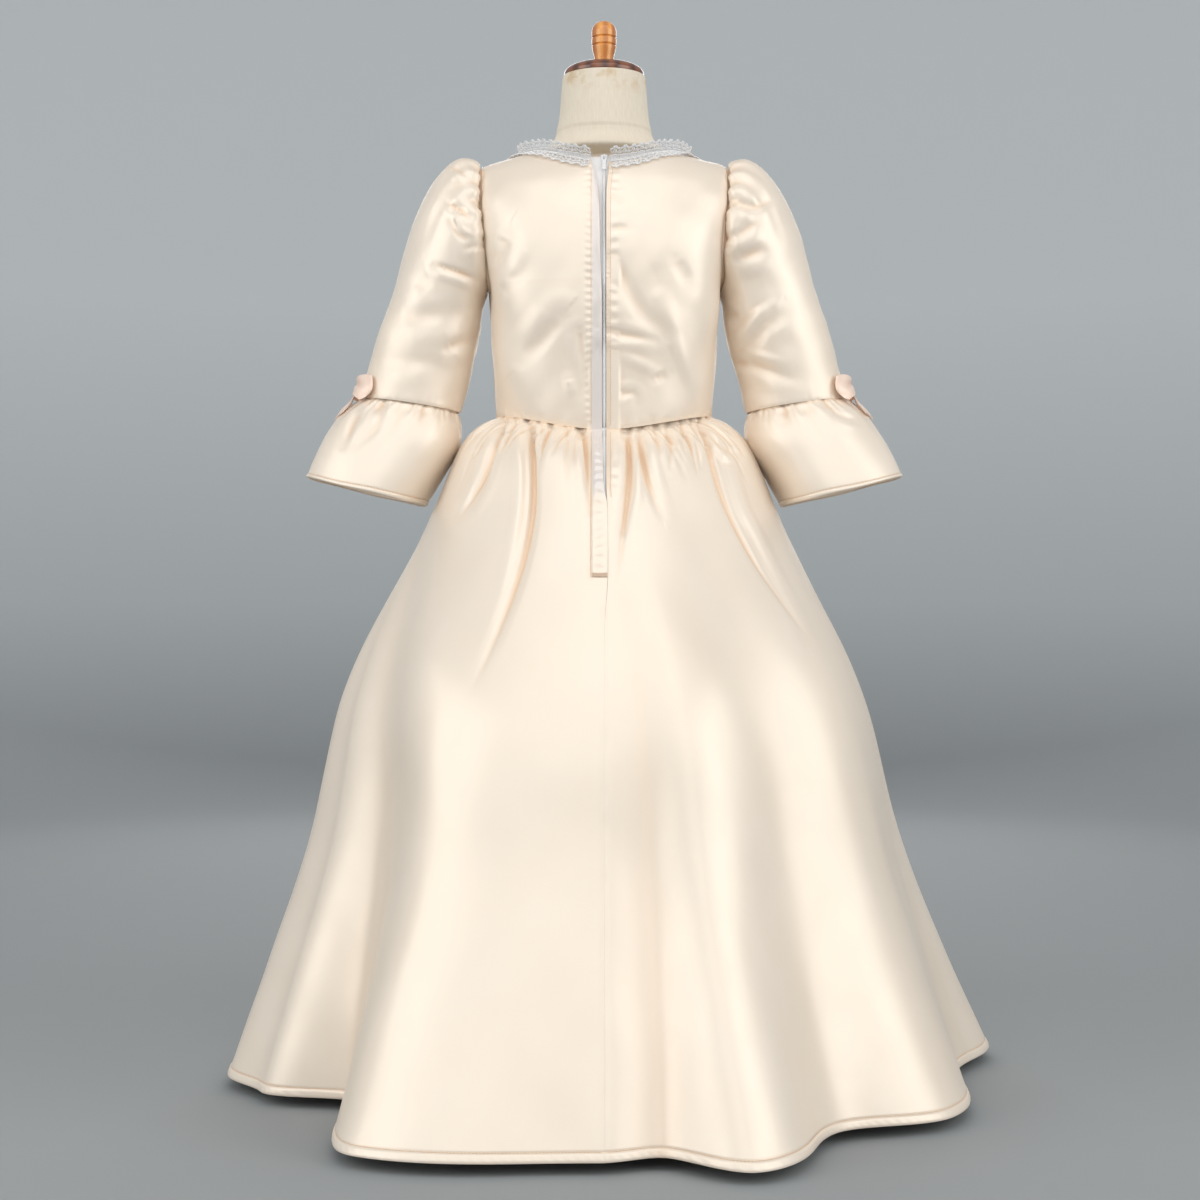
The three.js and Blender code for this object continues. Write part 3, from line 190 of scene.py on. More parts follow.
BODICE_CREASES = table("deep wide right left path",
    (2, 13, 1.4, 0, [(104, 877), (120, 842)]),
    (1.2, 13, 0, 0, [(111, 817), (83, 842)]),
    (1.6, 13, 0, 1.2, [(46, 791), (67, 765), (86, 745)]),
    (1.2, 7, 0.4, 0.6, [(26, 778), (20, 735)]),
    (-1.2, 10, 0, 0, [(38, 728), (33, 705)]),
    (1, 6, 0.4, 0.4, [(-4, 916), (-26, 913)]),
    (0.9, 6, 0.4, 0.4, [(-7, 886), (-30, 885)]),
    (2, 13, 0.6, 0.8, [(-10, 850), (-30, 813), (-46, 791), (-72, 774)]),
    (1.3, 11.5, 0.5, 0.3, [(-75, 852), (-92, 823)]),
    (1.6, 7, 0.4, 1, [(-3, 777), (-26, 773), (-54, 768)]),
    (-2, 14.5, -0.8, -0.6, [(-61, 813), (-83, 754), (-98, 716), (-110, 697)]),
    (-1.2, 10, 0, 0, [(-24, 749), (-54, 735)]),
    (1, 8.5, 0, 0, [(-54, 726), (-69, 733)]),
    (1, 6, 0.4, 0.4, [(-7, 709), (-30, 712), (-34, 702)]))
SLEEVE_CREASES = table("deep wide right left path",
    (2, 5, 0.6, 0.8, [(162, 950), (136, 938)]),
    (2.2, 6, 0.6, 1, [(163, 911), (148, 903), (132, 892)]),
    (-1.6, 5, 0, -0.8, [(155, 899), (150, 886), (139, 879), (131, 880)]),
    (1.2, 4.5, 0.4, 0.4, [(145, 864), (131, 868)]),
    (2.4, 6, 0, 1.4, [(178, 847), (152, 839), (129, 830)]),
    (1.5, 12.5, 0.3, 0.3, [(197, 834), (182, 818)]),
    (2.2, 15, 0.4, 1.4, [(214, 790), (185, 796), (158, 798)]),
    (1.8, 9, 0.6, 1.2, [(163, 759), (139, 772)]),
    (1.3, 12.5, 0.4, 0.4, [(233, 744), (167, 746)]),
    (-0.8, 7.5, 0, 0, [(182, 697), (155, 699)]),
    (2.5, 7.5, 0.6, 1, [(-139, 911), (-158, 908), (-174, 914)]),
    (1.8, 9, 0.5, 0.8, [(-122, 880), (-139, 877), (-163, 897)]),
    (2, 10, 1.2, 1.2, [(-139, 854), (-175, 866)]),
    (1.8, 9, 0, 1.2, [(-120, 802), (-144, 787)]),
    (-2.2, 10, -1.6, 0, [(-177, 804), (-158, 790), (-132, 756)]),
    (-1.2, 7.5, 0, -1.2, [(-151, 755), (-194, 742)]),
    (1.6, 9, 0, 0.4, [(-148, 742), (-204, 725)]),
    (1.2, 6, 0, 0, [(-139, 747), (-149, 736)]))
FLOUNCE_CREASES = table("deep wide right left path",
    (2.5, 6, 0.8, 0.8, [(257, 694), (265, 679), (273, 657)]),
    (1.5, 7, 0.6, 0.6, [(232, 697), (240, 676), (258, 660)]),
    (1.5, 5, 0.6, 0.6, [(-242, 690), (-270, 683)]))

# ---- Small tools: every one works on whole arrays ----
GOLDEN = 0.618034


def lerp(a, b, t):
    return a + (b - a) * t


def clamp01(t):
    return np.clip(t, 0.0, 1.0)


def ease(t):
    return (1 - np.cos(np.pi * clamp01(t))) / 2


def hump(t):
    return np.where(np.abs(t) < 1, np.cos(np.pi * np.asarray(t) / 2) ** 2, 0.0)


def uneven(k, salt):
    return 2 * ((k * GOLDEN + salt * 0.377) % 1) - 1


def steps(n):
    return np.linspace(0.0, 1.0, n + 1)


def point(x, y, z):
    return np.stack(np.broadcast_arrays(x, y, z), axis=-1).astype(float)


def unit(v):
    return v / np.maximum(np.linalg.norm(v, axis=-1, keepdims=True), 1e-12)


def column(rows, key):
    return np.array([row[key] for row in rows], dtype=float)


def row_at(rows, place):
    """Every column of a table at fractional rows, on smooth curves."""
    place = np.asarray(place, dtype=float)
    last = len(rows) - 1
    i = np.clip(np.floor(place).astype(int), 0, last - 1)
    t = place - i
    found = {}
    for key in rows[0]:
        values = column(rows, key)
        before, start, end, after = (values[np.clip(i + k, 0, last)] for k in (-1, 0, 1, 2))
        slope_in = (end - before) / 2
        slope_out = (after - start) / 2
        bend = 2 * (start - end) + slope_in + slope_out
        curve = 3 * (end - start) - 2 * slope_in - slope_out
        found[key] = start + t * (slope_in + t * (curve + t * bend))
    return found


NORMAL_STEP = 1e-3


def normal_of(surface, across, down, turn=1):
    """The outward normal of a surface, from two short steps on it."""
    along = surface(across + NORMAL_STEP, down) - surface(across - NORMAL_STEP, down)
    drop = surface(across, down + NORMAL_STEP) - surface(across, down - NORMAL_STEP)
    return unit(turn * np.cross(drop, along))


def azimuth_of(p):
    return np.degrees(np.arctan2(p[..., 1], p[..., 0])) % 360


def unevenness(p, size, seed):
    """A smooth random swell of about -1 to 1 in space, with waves about size mm long."""
    rng = np.random.default_rng(seed)
    waves = 7
    total = 0.0
    for _ in range(waves):
        direction = unit(rng.normal(size=3))
        length = size * rng.uniform(0.7, 1.5)
        phase = rng.uniform(0, 2 * np.pi)
        total = total + np.sin(p @ direction * 2 * np.pi / length + phase)
    return total / np.sqrt(waves)


# ---- Skirt surface ----
def waist_height(azimuth):
    facing = np.sin(np.radians(azimuth))
    middle = np.where(facing > 0, WAIST["back"], WAIST["front"])
    return lerp(WAIST["side"], middle, facing**2)


def waist_radius(azimuth):
    a = np.radians(azimuth)
    return 1 / np.hypot(np.cos(a) / WAIST["wide"], np.sin(a) / WAIST["deep"])


def fold_reach(azimuth, down):
    """The radius that the large folds give the hem, where they lie at this share."""
    unsettled = (1 - clamp01(down / FOLD_SETTLED)) ** 2
    at = column(FOLDS, "at") + column(FOLDS, "drift") * unsettled[..., None]
    at = np.concatenate([at, at[..., :1] + 360], axis=-1)
    reach = np.append(column(FOLDS, "reach"), FOLDS[0]["reach"])
    turned = at[..., 0] + (azimuth - at[..., 0]) % 360
    i = np.clip((at <= turned[..., None]).sum(axis=-1), 1, len(FOLDS))
    start = np.take_along_axis(at, i[..., None] - 1, axis=-1)[..., 0]
    end = np.take_along_axis(at, i[..., None], axis=-1)[..., 0]
    return lerp(reach[i - 1], reach[i], ease((turned - start) / (end - start)))


def front_gathers():
    rows = []
    count = FRONT_GATHERS["count"]
    for k in range(count):
        at = 180 + (k + 0.5 + FRONT_GATHERS["uneven"] * uneven(k, 1)) * 180 / count
        swing = sin(2 * radians(at))
        long = k % FRONT_GATHERS["every"] == FRONT_GATHERS["first"]
        kind = FRONT_LONG if long else FRONT_SHORT
        rows.append({
            "at": at,
            "by": at + FRONT_GATHERS["bow"] * swing,
            "to": at + FRONT_GATHERS["end"] * swing,
            "reach": kind["reach"] + kind["vary"] * uneven(k, 2),
            "deep": kind["deep"],
            "wide": kind["wide"],
        })
    return rows


def fine_gathers():
    g = FINE_GATHERS
    rows = []
    for k in range(g["count"]):
        at = (k + g["uneven"] * uneven(k, 3)) * 360 / g["count"]
        rows.append({
            "at": at,
            "by": at + g["bow"] * uneven(k, 11),
            "to": at + g["lean"] * uneven(k, 12),
            "reach": g["reach"] + g["vary"] * uneven(k, 4),
            "deep": g["deep"] * (1 + g["mixed"] * uneven(k, 13)),
            "wide": g["wide"] * (1 + g["mixed_wide"] * uneven(k, 14)),
        })
    return rows


LARGE_GATHERS = BACK_GATHERS + front_gathers()
SMALL_GATHERS = fine_gathers()
CRISP_GATHERS = [{**row, **{key: share * row[key] for key, share in CRISP.items()}} for row in LARGE_GATHERS]


def gather_depth(gathers, azimuth, down, radius, root=GATHER_START["depth"]):
    depth = np.zeros(np.broadcast(azimuth, down).shape)
    start = lerp(root, 1, ease(down / GATHER_START["by"]))
    for row in gathers:
        s = np.sqrt(clamp01(down / row["reach"]))
        middle = row["at"] * (1 - s) ** 2 + 2 * row["by"] * s * (1 - s) + row["to"] * s * s
        off = np.radians((azimuth - middle + 540) % 360 - 180) * radius
        fade = np.where(down < row["reach"], 1 - ease(down / row["reach"]), 0)
        depth += row["deep"] * hump(off / row["wide"]) * start * fade
    return depth


def skirt_point(azimuth, down):
    """The outer surface of the skirt, by azimuth and share of the drop."""
    azimuth, down = np.broadcast_arrays(np.asarray(azimuth, float), np.asarray(down, float))
    a = np.radians(azimuth)
    below = np.maximum(down, 0)
    zipped = np.exp(-(((azimuth - 90) / PUFF_DROP["zip_width"]) ** 2))
    puff_drop = lerp(PUFF_DROP["free"], PUFF_DROP["zipped"], zipped)
    bell = BELL["size"] * np.exp(-(((down - BELL["at"]) / BELL["width"]) ** 2))
    puff = 1 - np.exp(-below / puff_drop)
    spread = WAIST_PUFF * puff + (1 - WAIST_PUFF) * (down + bell)
    hem = HEM_REACH + (fold_reach(azimuth, down) - HEM_REACH) * below**FOLD_GROWTH
    plain = lerp(waist_radius(azimuth), hem, spread)
    r = plain - gather_depth(LARGE_GATHERS, azimuth, below, plain)
    z = lerp(waist_height(azimuth) - HALF_GAP, HEM_HEIGHT, down)
    return point(r * np.cos(a), r * np.sin(a), z)


# ---- Bodice surface ----
def shoulder_height(x):
    slope, crown = SHOULDER["slope"], SHOULDER["crown"]
    return SHOULDER["height"] + slope * (np.hypot(SHOULDER["out"], crown) - np.hypot(x, crown))


def squareness(side, power):
    return np.maximum(1 - np.clip(side, 0, 1) ** power, 0) ** (1 / power)


def bodice_point(face, angle, up):
    """The bodice's outer surface. face is 1 on the back and -1 on the front, angle goes from
    0 at its middle to 90 at the side, and up from -1 at the waist, through 0 at the
    underarm, to 1 at the shoulder."""
    angle, up = np.broadcast_arrays(np.asarray(angle, float), np.asarray(up, float))
    across = np.sin(np.radians(angle))
    side = np.minimum(1, np.abs(across))
    t = up + 1
    waist_y = face * WAIST["deep"] * squareness(side, WAIST_POWER)
    azimuth = np.degrees(np.arctan2(waist_y, WAIST["wide"] * across))
    low = waist_height(azimuth) + HALF_GAP
    deep = lerp(WAIST["deep"], CHEST["deep"], t)
    y = deep * squareness(side, lerp(WAIST_POWER, CHEST["power"], np.minimum(t, 1)))
    lower = point(lerp(WAIST["wide"], CHEST["wide"], t) * across, face * (y + HALF_GAP),
                  lerp(low, UNDERARM, t))
    t = np.clip(up, 0, 1)
    x = lerp(CHEST["wide"], SHOULDER["out"], t) * across
    armhole = 2 * ARMHOLE_DEEP * np.sqrt(t * (1 - t))
    chest = CHEST["deep"] * squareness(t, YOKE_POWER)
    cut = np.where(t < 1, squareness(armhole / np.maximum(chest, 1e-6), CHEST["power"]), 1)
    y = chest * squareness(side * cut, CHEST["power"])
    upper = point(x, face * (y + HALF_GAP), lerp(UNDERARM, shoulder_height(x), t))
    return np.where((up < 0)[..., None], lower, upper)


def bodice_top(face, angle):
    """How far up the surface the cloth goes: to the neckline between the shoulder seams."""
    middle = NECKLINE["back"] if face > 0 else NECKLINE["front"]
    roundness = NECKLINE["back_round"] if face > 0 else NECKLINE["front_round"]
    low = (middle - UNDERARM) / (shoulder_height(0) - UNDERARM)
    return lerp(low, 1, ease((np.abs(angle) / NECK_ANGLE) ** roundness))


def skirt_azimuth(x, down):
    """The azimuth at which the skirt's back crosses this x."""
    azimuth = np.full(np.broadcast(x, down).shape, 90.0)
    for _ in range(6):
        p = skirt_point(azimuth, down)
        azimuth = np.degrees(np.arccos(x / np.hypot(p[..., 0], p[..., 1])))
    return azimuth


def back_point(x, z):
    """The gown's back beside the zip: bodice above the waist, skirt below it."""
    x, z = np.broadcast_arrays(np.asarray(x, float), np.asarray(z, float))
    ridge = shoulder_height(x)
    above = z >= UNDERARM
    up = np.where(above, (z - UNDERARM) / (ridge - UNDERARM),
                  (z - UNDERARM) / (UNDERARM - WAIST["back"]))
    wide = np.where(above, lerp(CHEST["wide"], SHOULDER["out"], up),
                    lerp(WAIST["wide"], CHEST["wide"], up + 1))
    bodice = bodice_point(1, np.degrees(np.arcsin(x / wide)), up)
    down = clamp01((WAIST["back"] - z) / (WAIST["back"] - HEM_HEIGHT))
    skirt = skirt_point(skirt_azimuth(x, down), down)
    return np.where((z >= WAIST["back"])[..., None], bodice, skirt)


def lap_at(z, side):
    """The x of a back panel's edge at a height."""
    heights = column(LAPS, "z")
    return row_at(LAPS, np.interp(-np.asarray(z, float), -heights, np.arange(len(LAPS))))[side]


# ---- Sleeve surface ----
def ring_point(row, around):
    """around is degrees: 0 outside, 90 at the back, 180 against the body."""
    a = np.radians(around)
    x = (row["x_out"] + row["x_in"]) / 2 + (row["x_out"] - row["x_in"]) / 2 * np.cos(a)
    z = (row["z_out"] + row["z_in"]) / 2 + (row["z_out"] - row["z_in"]) / 2 * np.cos(a)
    return point(x, row["deep"] * np.sin(a), z)


def pleats(around, away, g, salt):
    """The depth of the pleats that run away from a seam round an arm, from their table."""
    depth = 0
    for k in range(g["count"]):
        place = k + g["uneven"] * uneven(k, salt)
        at = place * 360 / g["count"]
        if "side" in g:
            at = lerp(-g["side"], g["side"], place / (g["count"] - 1))
        off = (around - at + 540) % 360 - 180
        fade = 1 - ease(away / (g["reach"] + g["vary"] * uneven(k, salt + 1)))
        deep = g["deep"] * (1 + g["mixed"] * uneven(k, salt + 2))
        depth = depth + deep * hump(off / g["wide"]) * fade
    return depth * lerp(g["start"], 1, ease(away / g["full"]))


def cap_gather_depth(around, place):
    return pleats(around, place, CAP_GATHERS, 5)


def flounce_gather_depth(around, place):
    wave = 1 + np.cos(np.radians(FLOUNCE_WAVE["count"] * around + FLOUNCE_WAVE["turn"]))
    wave = FLOUNCE_WAVE["deep"] * wave * ease(place / (len(FLOUNCE) - 1))
    return pleats(around, place, FLOUNCE_GATHERS, 7) + wave


def dented(rows, depth):
    """A tube through a table's rings, dented along its normal, by share of a turn."""
    def plain(around, place):
        return ring_point(row_at(rows, place), around)

    def surface(across, place):
        around = 360 * across
        n = normal_of(plain, around, place)
        return plain(around, place) - n * depth(around, place)[..., None]

    return surface


# ---- Relief: what stands out of the surface or dents it, in mm along the normal ----
def ripple(along, length, wander, p, size, seed):
    """A wave from -1 to 1 along a seam, of a length in mm that wanders a little."""
    return np.sin(2 * np.pi * along / length + wander * unevenness(p, size, seed))


def seen(p):
    """Where a point is seen on the plane through the gown's middle, from behind."""
    scale = VIEW["distance"] / (VIEW["distance"] - p[..., 1])
    return p[..., 0] * scale, VIEW["height"] + (p[..., 2] - VIEW["height"]) * scale


def smooth_path(path, cuts=5):
    rows = [{"u": u, "v": v} for u, v in path]
    if len(rows) < 3:
        return np.array(path, dtype=float)
    found = row_at(rows, np.linspace(0, len(rows) - 1, cuts * (len(rows) - 1) + 1))
    return np.stack([found["u"], found["v"]], axis=-1)


def beside_path(u, v, path):
    """The distance to a path, positive on its right, and the share of its length."""
    best = np.full(u.shape, np.inf)
    side = np.zeros(u.shape)
    share = np.zeros(u.shape)
    lengths = np.linalg.norm(np.diff(path, axis=0), axis=1)
    run = 0.0
    for start, step, length in zip(path[:-1], np.diff(path, axis=0), lengths):
        du, dv = u - start[0], v - start[1]
        t = clamp01((du * step[0] + dv * step[1]) / length**2)
        off_u, off_v = du - t * step[0], dv - t * step[1]
        distance = np.hypot(off_u, off_v)
        nearer = distance < best
        sign = np.where(off_u * step[1] - off_v * step[0] < 0, -1.0, 1.0)
        best = np.where(nearer, distance, best)
        side = np.where(nearer, sign, side)
        share = np.where(nearer, (run + t * length) / lengths.sum(), share)
        run += length
    return best * side, share


def creases(rows, face=1):
    """Relief from a table of creases, on the surfaces that face the back. With a face of -1
    they are turned half round, onto the surfaces that face the front."""
    eye = np.array([0.0, VIEW["distance"], VIEW["height"]])
    turned = np.array([face, face, 1])

    def relief(across, down, p, n):
        p, n = p * turned, n * turned
        u, v = seen(p)
        facing = ease(((unit(eye - p) * n).sum(axis=-1) - 0.02) / 0.3)
        height = np.zeros(u.shape)
        for row in rows:
            path = smooth_path(row["path"])
            margin = 3 * row["wide"]
            near = (facing > 0) & (u > path[:, 0].min() - margin) & (u < path[:, 0].max() + margin)
            near &= (v > path[:, 1].min() - margin) & (v < path[:, 1].max() + margin)
            if not near.any():
                continue
            off, share = beside_path(u[near], v[near], path)
            off = off / row["wide"]
            taper = lerp(0.45, 1, ease(share / 0.2)) * lerp(0.25, 1, ease((1 - share) / 0.5))
            rolls = row["right"] * hump((off - 1.5) / 1.2) + row["left"] * hump((off + 1.5) / 1.2)
            height[near] += (rolls - row["deep"] * hump(off)) * taper
        return height * facing

    return relief


def front_creases(rows):
    """Similar creases for the front, from those that don't run to the zip."""
    return creases([row for row in rows if abs(row["path"][0][0]) > 30], face=-1)


SHARP_ROOT = 0.4  # the share of its depth that a small gather has right at the seam


def small_waist_gathers(across, down, p, n):
    radius = np.hypot(p[..., 0], p[..., 1])
    return -gather_depth(SMALL_GATHERS, azimuth_of(p), down, radius, SHARP_ROOT)


def crisp_waist_gathers(across, down, p, n):
    """A sharper valley along the bottom of each large gather."""
    radius = np.hypot(p[..., 0], p[..., 1])
    return -gather_depth(CRISP_GATHERS, azimuth_of(p), down, radius)


def swell(size, high, seed, stretch=(1, 1, 1)):
    """The soft unevenness of hanging cloth. stretch shortens the waves along an axis."""
    def relief(across, down, p, n):
        return high * unevenness(p * np.array(stretch), size, seed)
    return relief


HEM = {"bend": 4, "slant": 9.5, "pucker": 0.22, "groove": 0.45, "below": 0.6, "half": 1.6}


def turned_hem(length, width, band=8.0, high=1.0):
    """A narrow hem, turned up and stitched: a roll with slanting puckers over a groove."""
    def relief(across, down, p, n):
        above = (1 - down) * length
        roll = np.where(above < band, 1 - np.abs(2 * above / band - 1) ** HEM["bend"], 0)
        pucker = ripple(across * width + above, HEM["slant"], 2, p, 60, 5)
        groove = hump((above - band - HEM["below"]) / HEM["half"])
        return roll * (high + HEM["pucker"] * pucker) - HEM["groove"] * groove
    return relief


def seam_puckers(count, reach, deep, salt, edge):
    """Short dents that run away from a seam. edge(across, down, p) gives the share of a
    turn along the seam and the distance from it in mm."""
    def relief(across, down, p, n):
        along, away = edge(across, down, p)
        height = 0
        for k in range(count):
            at = (k + 0.4 * uneven(k, salt)) / count
            off = (along - at + 0.5) % 1 - 0.5
            long = reach * (1 + 0.5 * uneven(k, salt + 1))
            dent = hump(off * count * 1.25) * (1 - ease(away / long)) * ease(away / 2.5 + 0.4)
            height = height - deep * (1 + 0.5 * uneven(k, salt + 2)) * dent
        return height
    return relief


UPRIGHT = np.array([0, 0, 1.0])
# The lap over the zip, in mm: trough is its depth and what the dents add, and roll the height
# of its rolled edge, which starts at the share "from" of the lap.
LAP_RELIEF = {"trough": (0.5, 0.4), "roll": 0.5, "from": 0.72, "pucker": 0.35, "every": 7.5,
              "groove": 0.45, "half": 1.3}
# The edge beside the coil, with its places in mm from the edge.
EDGE_RELIEF = {"roll": 0.45, "pucker": 0.28, "every": 4.6, "at": 1.7, "half": 2.2,
               "groove": 0.35, "stitch": 4.2, "ripple": 0.4, "long": 11, "ripple_at": 8}


def left_lap(across, down, p, n):
    """The lap over the zip: a trough between its stitching and its rolled edge, with dents."""
    g = LAP_RELIEF
    x, z = p[..., 0], p[..., 2]
    edge = lap_at(z, "left")
    room = ease((LAP_STITCH - edge - 1) / 5)
    share = clamp01((LAP_STITCH - x) / np.maximum(LAP_STITCH - edge, 1))
    dents = 0.5 + 0.5 * unevenness(p * UPRIGHT, 15, 22)
    trough = -(g["trough"][0] + g["trough"][1] * dents) * np.sin(np.pi * share) ** 1.5
    roll = g["roll"] * ease((share - g["from"]) / (1 - g["from"]))
    puckers = g["pucker"] * ripple(z, g["every"], 1.8, p, 40, 23)
    beside = hump((x - LAP_STITCH - 2.5) / 5)
    groove = -g["groove"] * hump((x - LAP_STITCH) / g["half"])
    bodice = ease((z - WAIST["back"] + 8) / 6)
    strip = room * (x < LAP_STITCH) * (trough + roll) * bodice
    return (p[..., 1] > 0) * (z > PLACKET["bottom"]) * (strip + puckers * beside * bodice + groove)


def right_lap(across, down, p, n):
    """The edge beside the coil: a rolled fold with small puckers, and its stitching."""
    g = EDGE_RELIEF
    away, z = lap_at(p[..., 2], "right") - p[..., 0], p[..., 2]
    zipped = ease((z - ZIP["bottom"]) / 12) * (p[..., 1] > 0)
    wave = ripple(z, g["every"], 1.2, p, 30, 24)
    roll = (g["roll"] + g["pucker"] * wave) * hump((away - g["at"]) / g["half"])
    groove = -g["groove"] * hump((away - g["stitch"]) / 1.2)
    ripples = g["ripple"] * ripple(z, g["long"], 2.2, p, 60, 25)
    return zipped * (roll + groove + ripples * hump((away - g["ripple_at"]) / 7))


# The placket below the zip: a strip that laps over the seam, ending in a bar of stitches.
PLACKET = {"left": 12.9, "right": -6, "bottom": 515, "high": 0.9, "ripple": 0.75, "every": 9,
           "ridge": 0.6}


def placket(across, down, p, n):
    x, z = p[..., 0], p[..., 2]
    inside = ease((PLACKET["left"] - x) / 1.6) * ease((x - PLACKET["right"]) / 2.2)
    inside = inside * ease((z - PLACKET["bottom"]) / 2.5)
    waves = PLACKET["ripple"] * ripple(z, PLACKET["every"], 1.8, p, 40, 31) * hump((x - 5) / 8)
    ridge = PLACKET["ridge"] * hump((z - ZIP["bottom"]) / 2.5)
    return np.where(p[..., 1] > 0, inside * (PLACKET["high"] + waves + ridge), 0)


BACK_SEAM = {"deep": 0.7, "uneven": 0.35, "half": 5, "below": 8, "fade": 30}


def back_seam(across, down, p, n):
    """The shallow valley along the seam down the skirt's middle, below the placket."""
    g = BACK_SEAM
    below = ease((PLACKET["bottom"] - g["below"] - p[..., 2]) / g["fade"]) * (p[..., 1] > 0)
    drawn = 1 + g["uneven"] * unevenness(p * UPRIGHT, 26, 35)
    return -g["deep"] * below * drawn * hump(p[..., 0] / g["half"])


def over_zip(p):
    """How far in the cloth may be pressed, so that the tapes stay behind it."""
    beside = ease((np.abs(p[..., 0]) - OVER_ZIP["side"]) / OVER_ZIP["fade"])
    least = OVER_ZIP["least"] - OVER_ZIP["free"] * beside
    return np.where((p[..., 1] > 0) & (p[..., 2] > ZIP["bottom"] - 8), least, -np.inf)


def zip_painted_shades(p):
    """Painted shade: a warmer, darker tint along the fold beside the coil, and a greyer tint
    on the lap over the zip, partly for the white tape behind it and partly as painted shade."""
    z = p[..., 2]
    zipped = ease((z - ZIP["bottom"] + 2) / 22) * (p[..., 1] > 0)
    away = lap_at(z, "right") - p[..., 0]
    painted_fold_shade = 0.6 * hump((away - 1.8) / 2.8) * (away > 0)
    tape_and_lap_shade = ease((LAP_STITCH - p[..., 0]) / 1.6) * (p[..., 0] > lap_at(z, "left") - 0.5)
    return zipped * painted_fold_shade, zipped * tape_and_lap_shade


def tucked_seam(depth, reach, away):
    """Cloth pressed in towards a seam. away(across, down, p) is the distance from it."""
    def relief(across, down, p, n):
        return -depth * (1 - ease(away(across, down, p) / reach))
    return relief


# ---- Cloth: a surface with relief on it ----
class Cloth:
    def __init__(self, surface, reliefs=(), turn=1, mirror=False, zipped=False):
        self.surface = surface
        self.zipped = zipped
        self.reliefs = reliefs
        self.turn = turn
        self.mirror = mirror

    def at(self, across, down):
        """The finished surface, and the bare surface's normal."""
        p = self.surface(across, down)
        n = normal_of(self.surface, across, down, self.turn)
        if self.mirror:
            p = p * np.array([-1, 1, 1])
            n = n * np.array([-1, 1, 1])
        height = sum((relief(across, down, p, n) for relief in self.reliefs), np.zeros(p.shape[:-1]))
        if self.zipped:
            height = np.maximum(height, over_zip(p))
        return p + n * height[..., None], n


def spaced(first, *stretches):
    """Places from first on, in stretches of (end, step), with a number of cells that the
    lining side can be cut to."""
    values = [first]
    for end, step in stretches:
        start = values[-1]
        cells = max(1, round((end - start) / step))
        values.extend(start + (end - start) * (i + 1) / cells for i in range(cells))
    return fitted(np.array(values))


def fitted(values):
    cells = COARSE * ceil((len(values) - 1) / COARSE)
    return np.interp(np.linspace(0, len(values) - 1, cells + 1), np.arange(len(values)), values)


def even(cells):
    return steps(COARSE * ceil(cells / COARSE))


def quads(index, closed):
    if closed:
        index = np.hstack([index, index[:, :1]])
    corners = (index[:-1, :-1], index[:-1, 1:], index[1:, 1:], index[1:, :-1])
    return np.stack(corners, axis=-1).reshape(-1, 4)


def rim(fine, coarse, flip):
    """Triangles between an outer edge and the lining's, which has a third of its cells."""
    f = [fine[k : len(fine) - COARSE + k : COARSE] for k in range(COARSE)] + [fine[COARSE::COARSE]]
    a, b = coarse[:-1], coarse[1:]
    corners = [(a, f[0], f[1]), (a, f[1], b), (b, f[1], f[2]), (b, f[2], f[3])]
    faces = np.concatenate([np.stack(three, axis=-1) for three in corners])
    return faces[:, ::-1] if flip else faces


def signed_volume(points, faces):
    a, b, c = (points[faces[:, k]] for k in range(3))
    total = np.einsum("ij,ij->i", a, np.cross(b, c)).sum()
    if faces.shape[1] == 4:
        total += signed_volume(points, faces[:, [0, 2, 3]])
    return total


def length_along(points, axis):
    """How far along the cloth each point lies, from the grid's first line."""
    hops = np.linalg.norm(np.diff(points, axis=axis), axis=-1)
    run = np.cumsum(hops, axis=axis)
    start = np.zeros_like(np.take(run, [0], axis=axis))
    return np.concatenate([start, run], axis=axis)


# Painted shade in creases: a dip this deep against the cells round it gets the full tint, where the cells
# are this long.
CREASE_SHADE = {"cells": 6, "deep": 1.5, "cell": 1.2}


def painted_crease_shade(outer, normal, closed):
    """Painted shade: where the cloth lies lower than the cloth round it, from 0 to 1."""
    reach = CREASE_SHADE["cells"]
    found = np.zeros(outer.shape[:2])
    for axis in (0, 1):
        lines = np.moveaxis(outer, axis, 0)
        if closed and axis == 1:
            padded = np.concatenate([lines[-1 - reach : -1], lines, lines[1 : 1 + reach]])
        else:
            padded = np.pad(lines, ((reach, reach), (0, 0), (0, 0)), mode="reflect", reflect_type="odd")
        total = sum(padded[k : k + len(lines)] for k in range(2 * reach + 1))
        round_it = np.moveaxis(total / (2 * reach + 1), 0, axis)
        cell = np.linalg.norm(np.gradient(outer, axis=axis), axis=-1)
        scale = np.minimum(1, (CREASE_SHADE["cell"] / np.maximum(cell, 1e-6)) ** 2) / CREASE_SHADE["deep"]
        found = np.maximum(found, ((round_it - outer) * normal).sum(axis=-1) * scale)
    return clamp01(found)


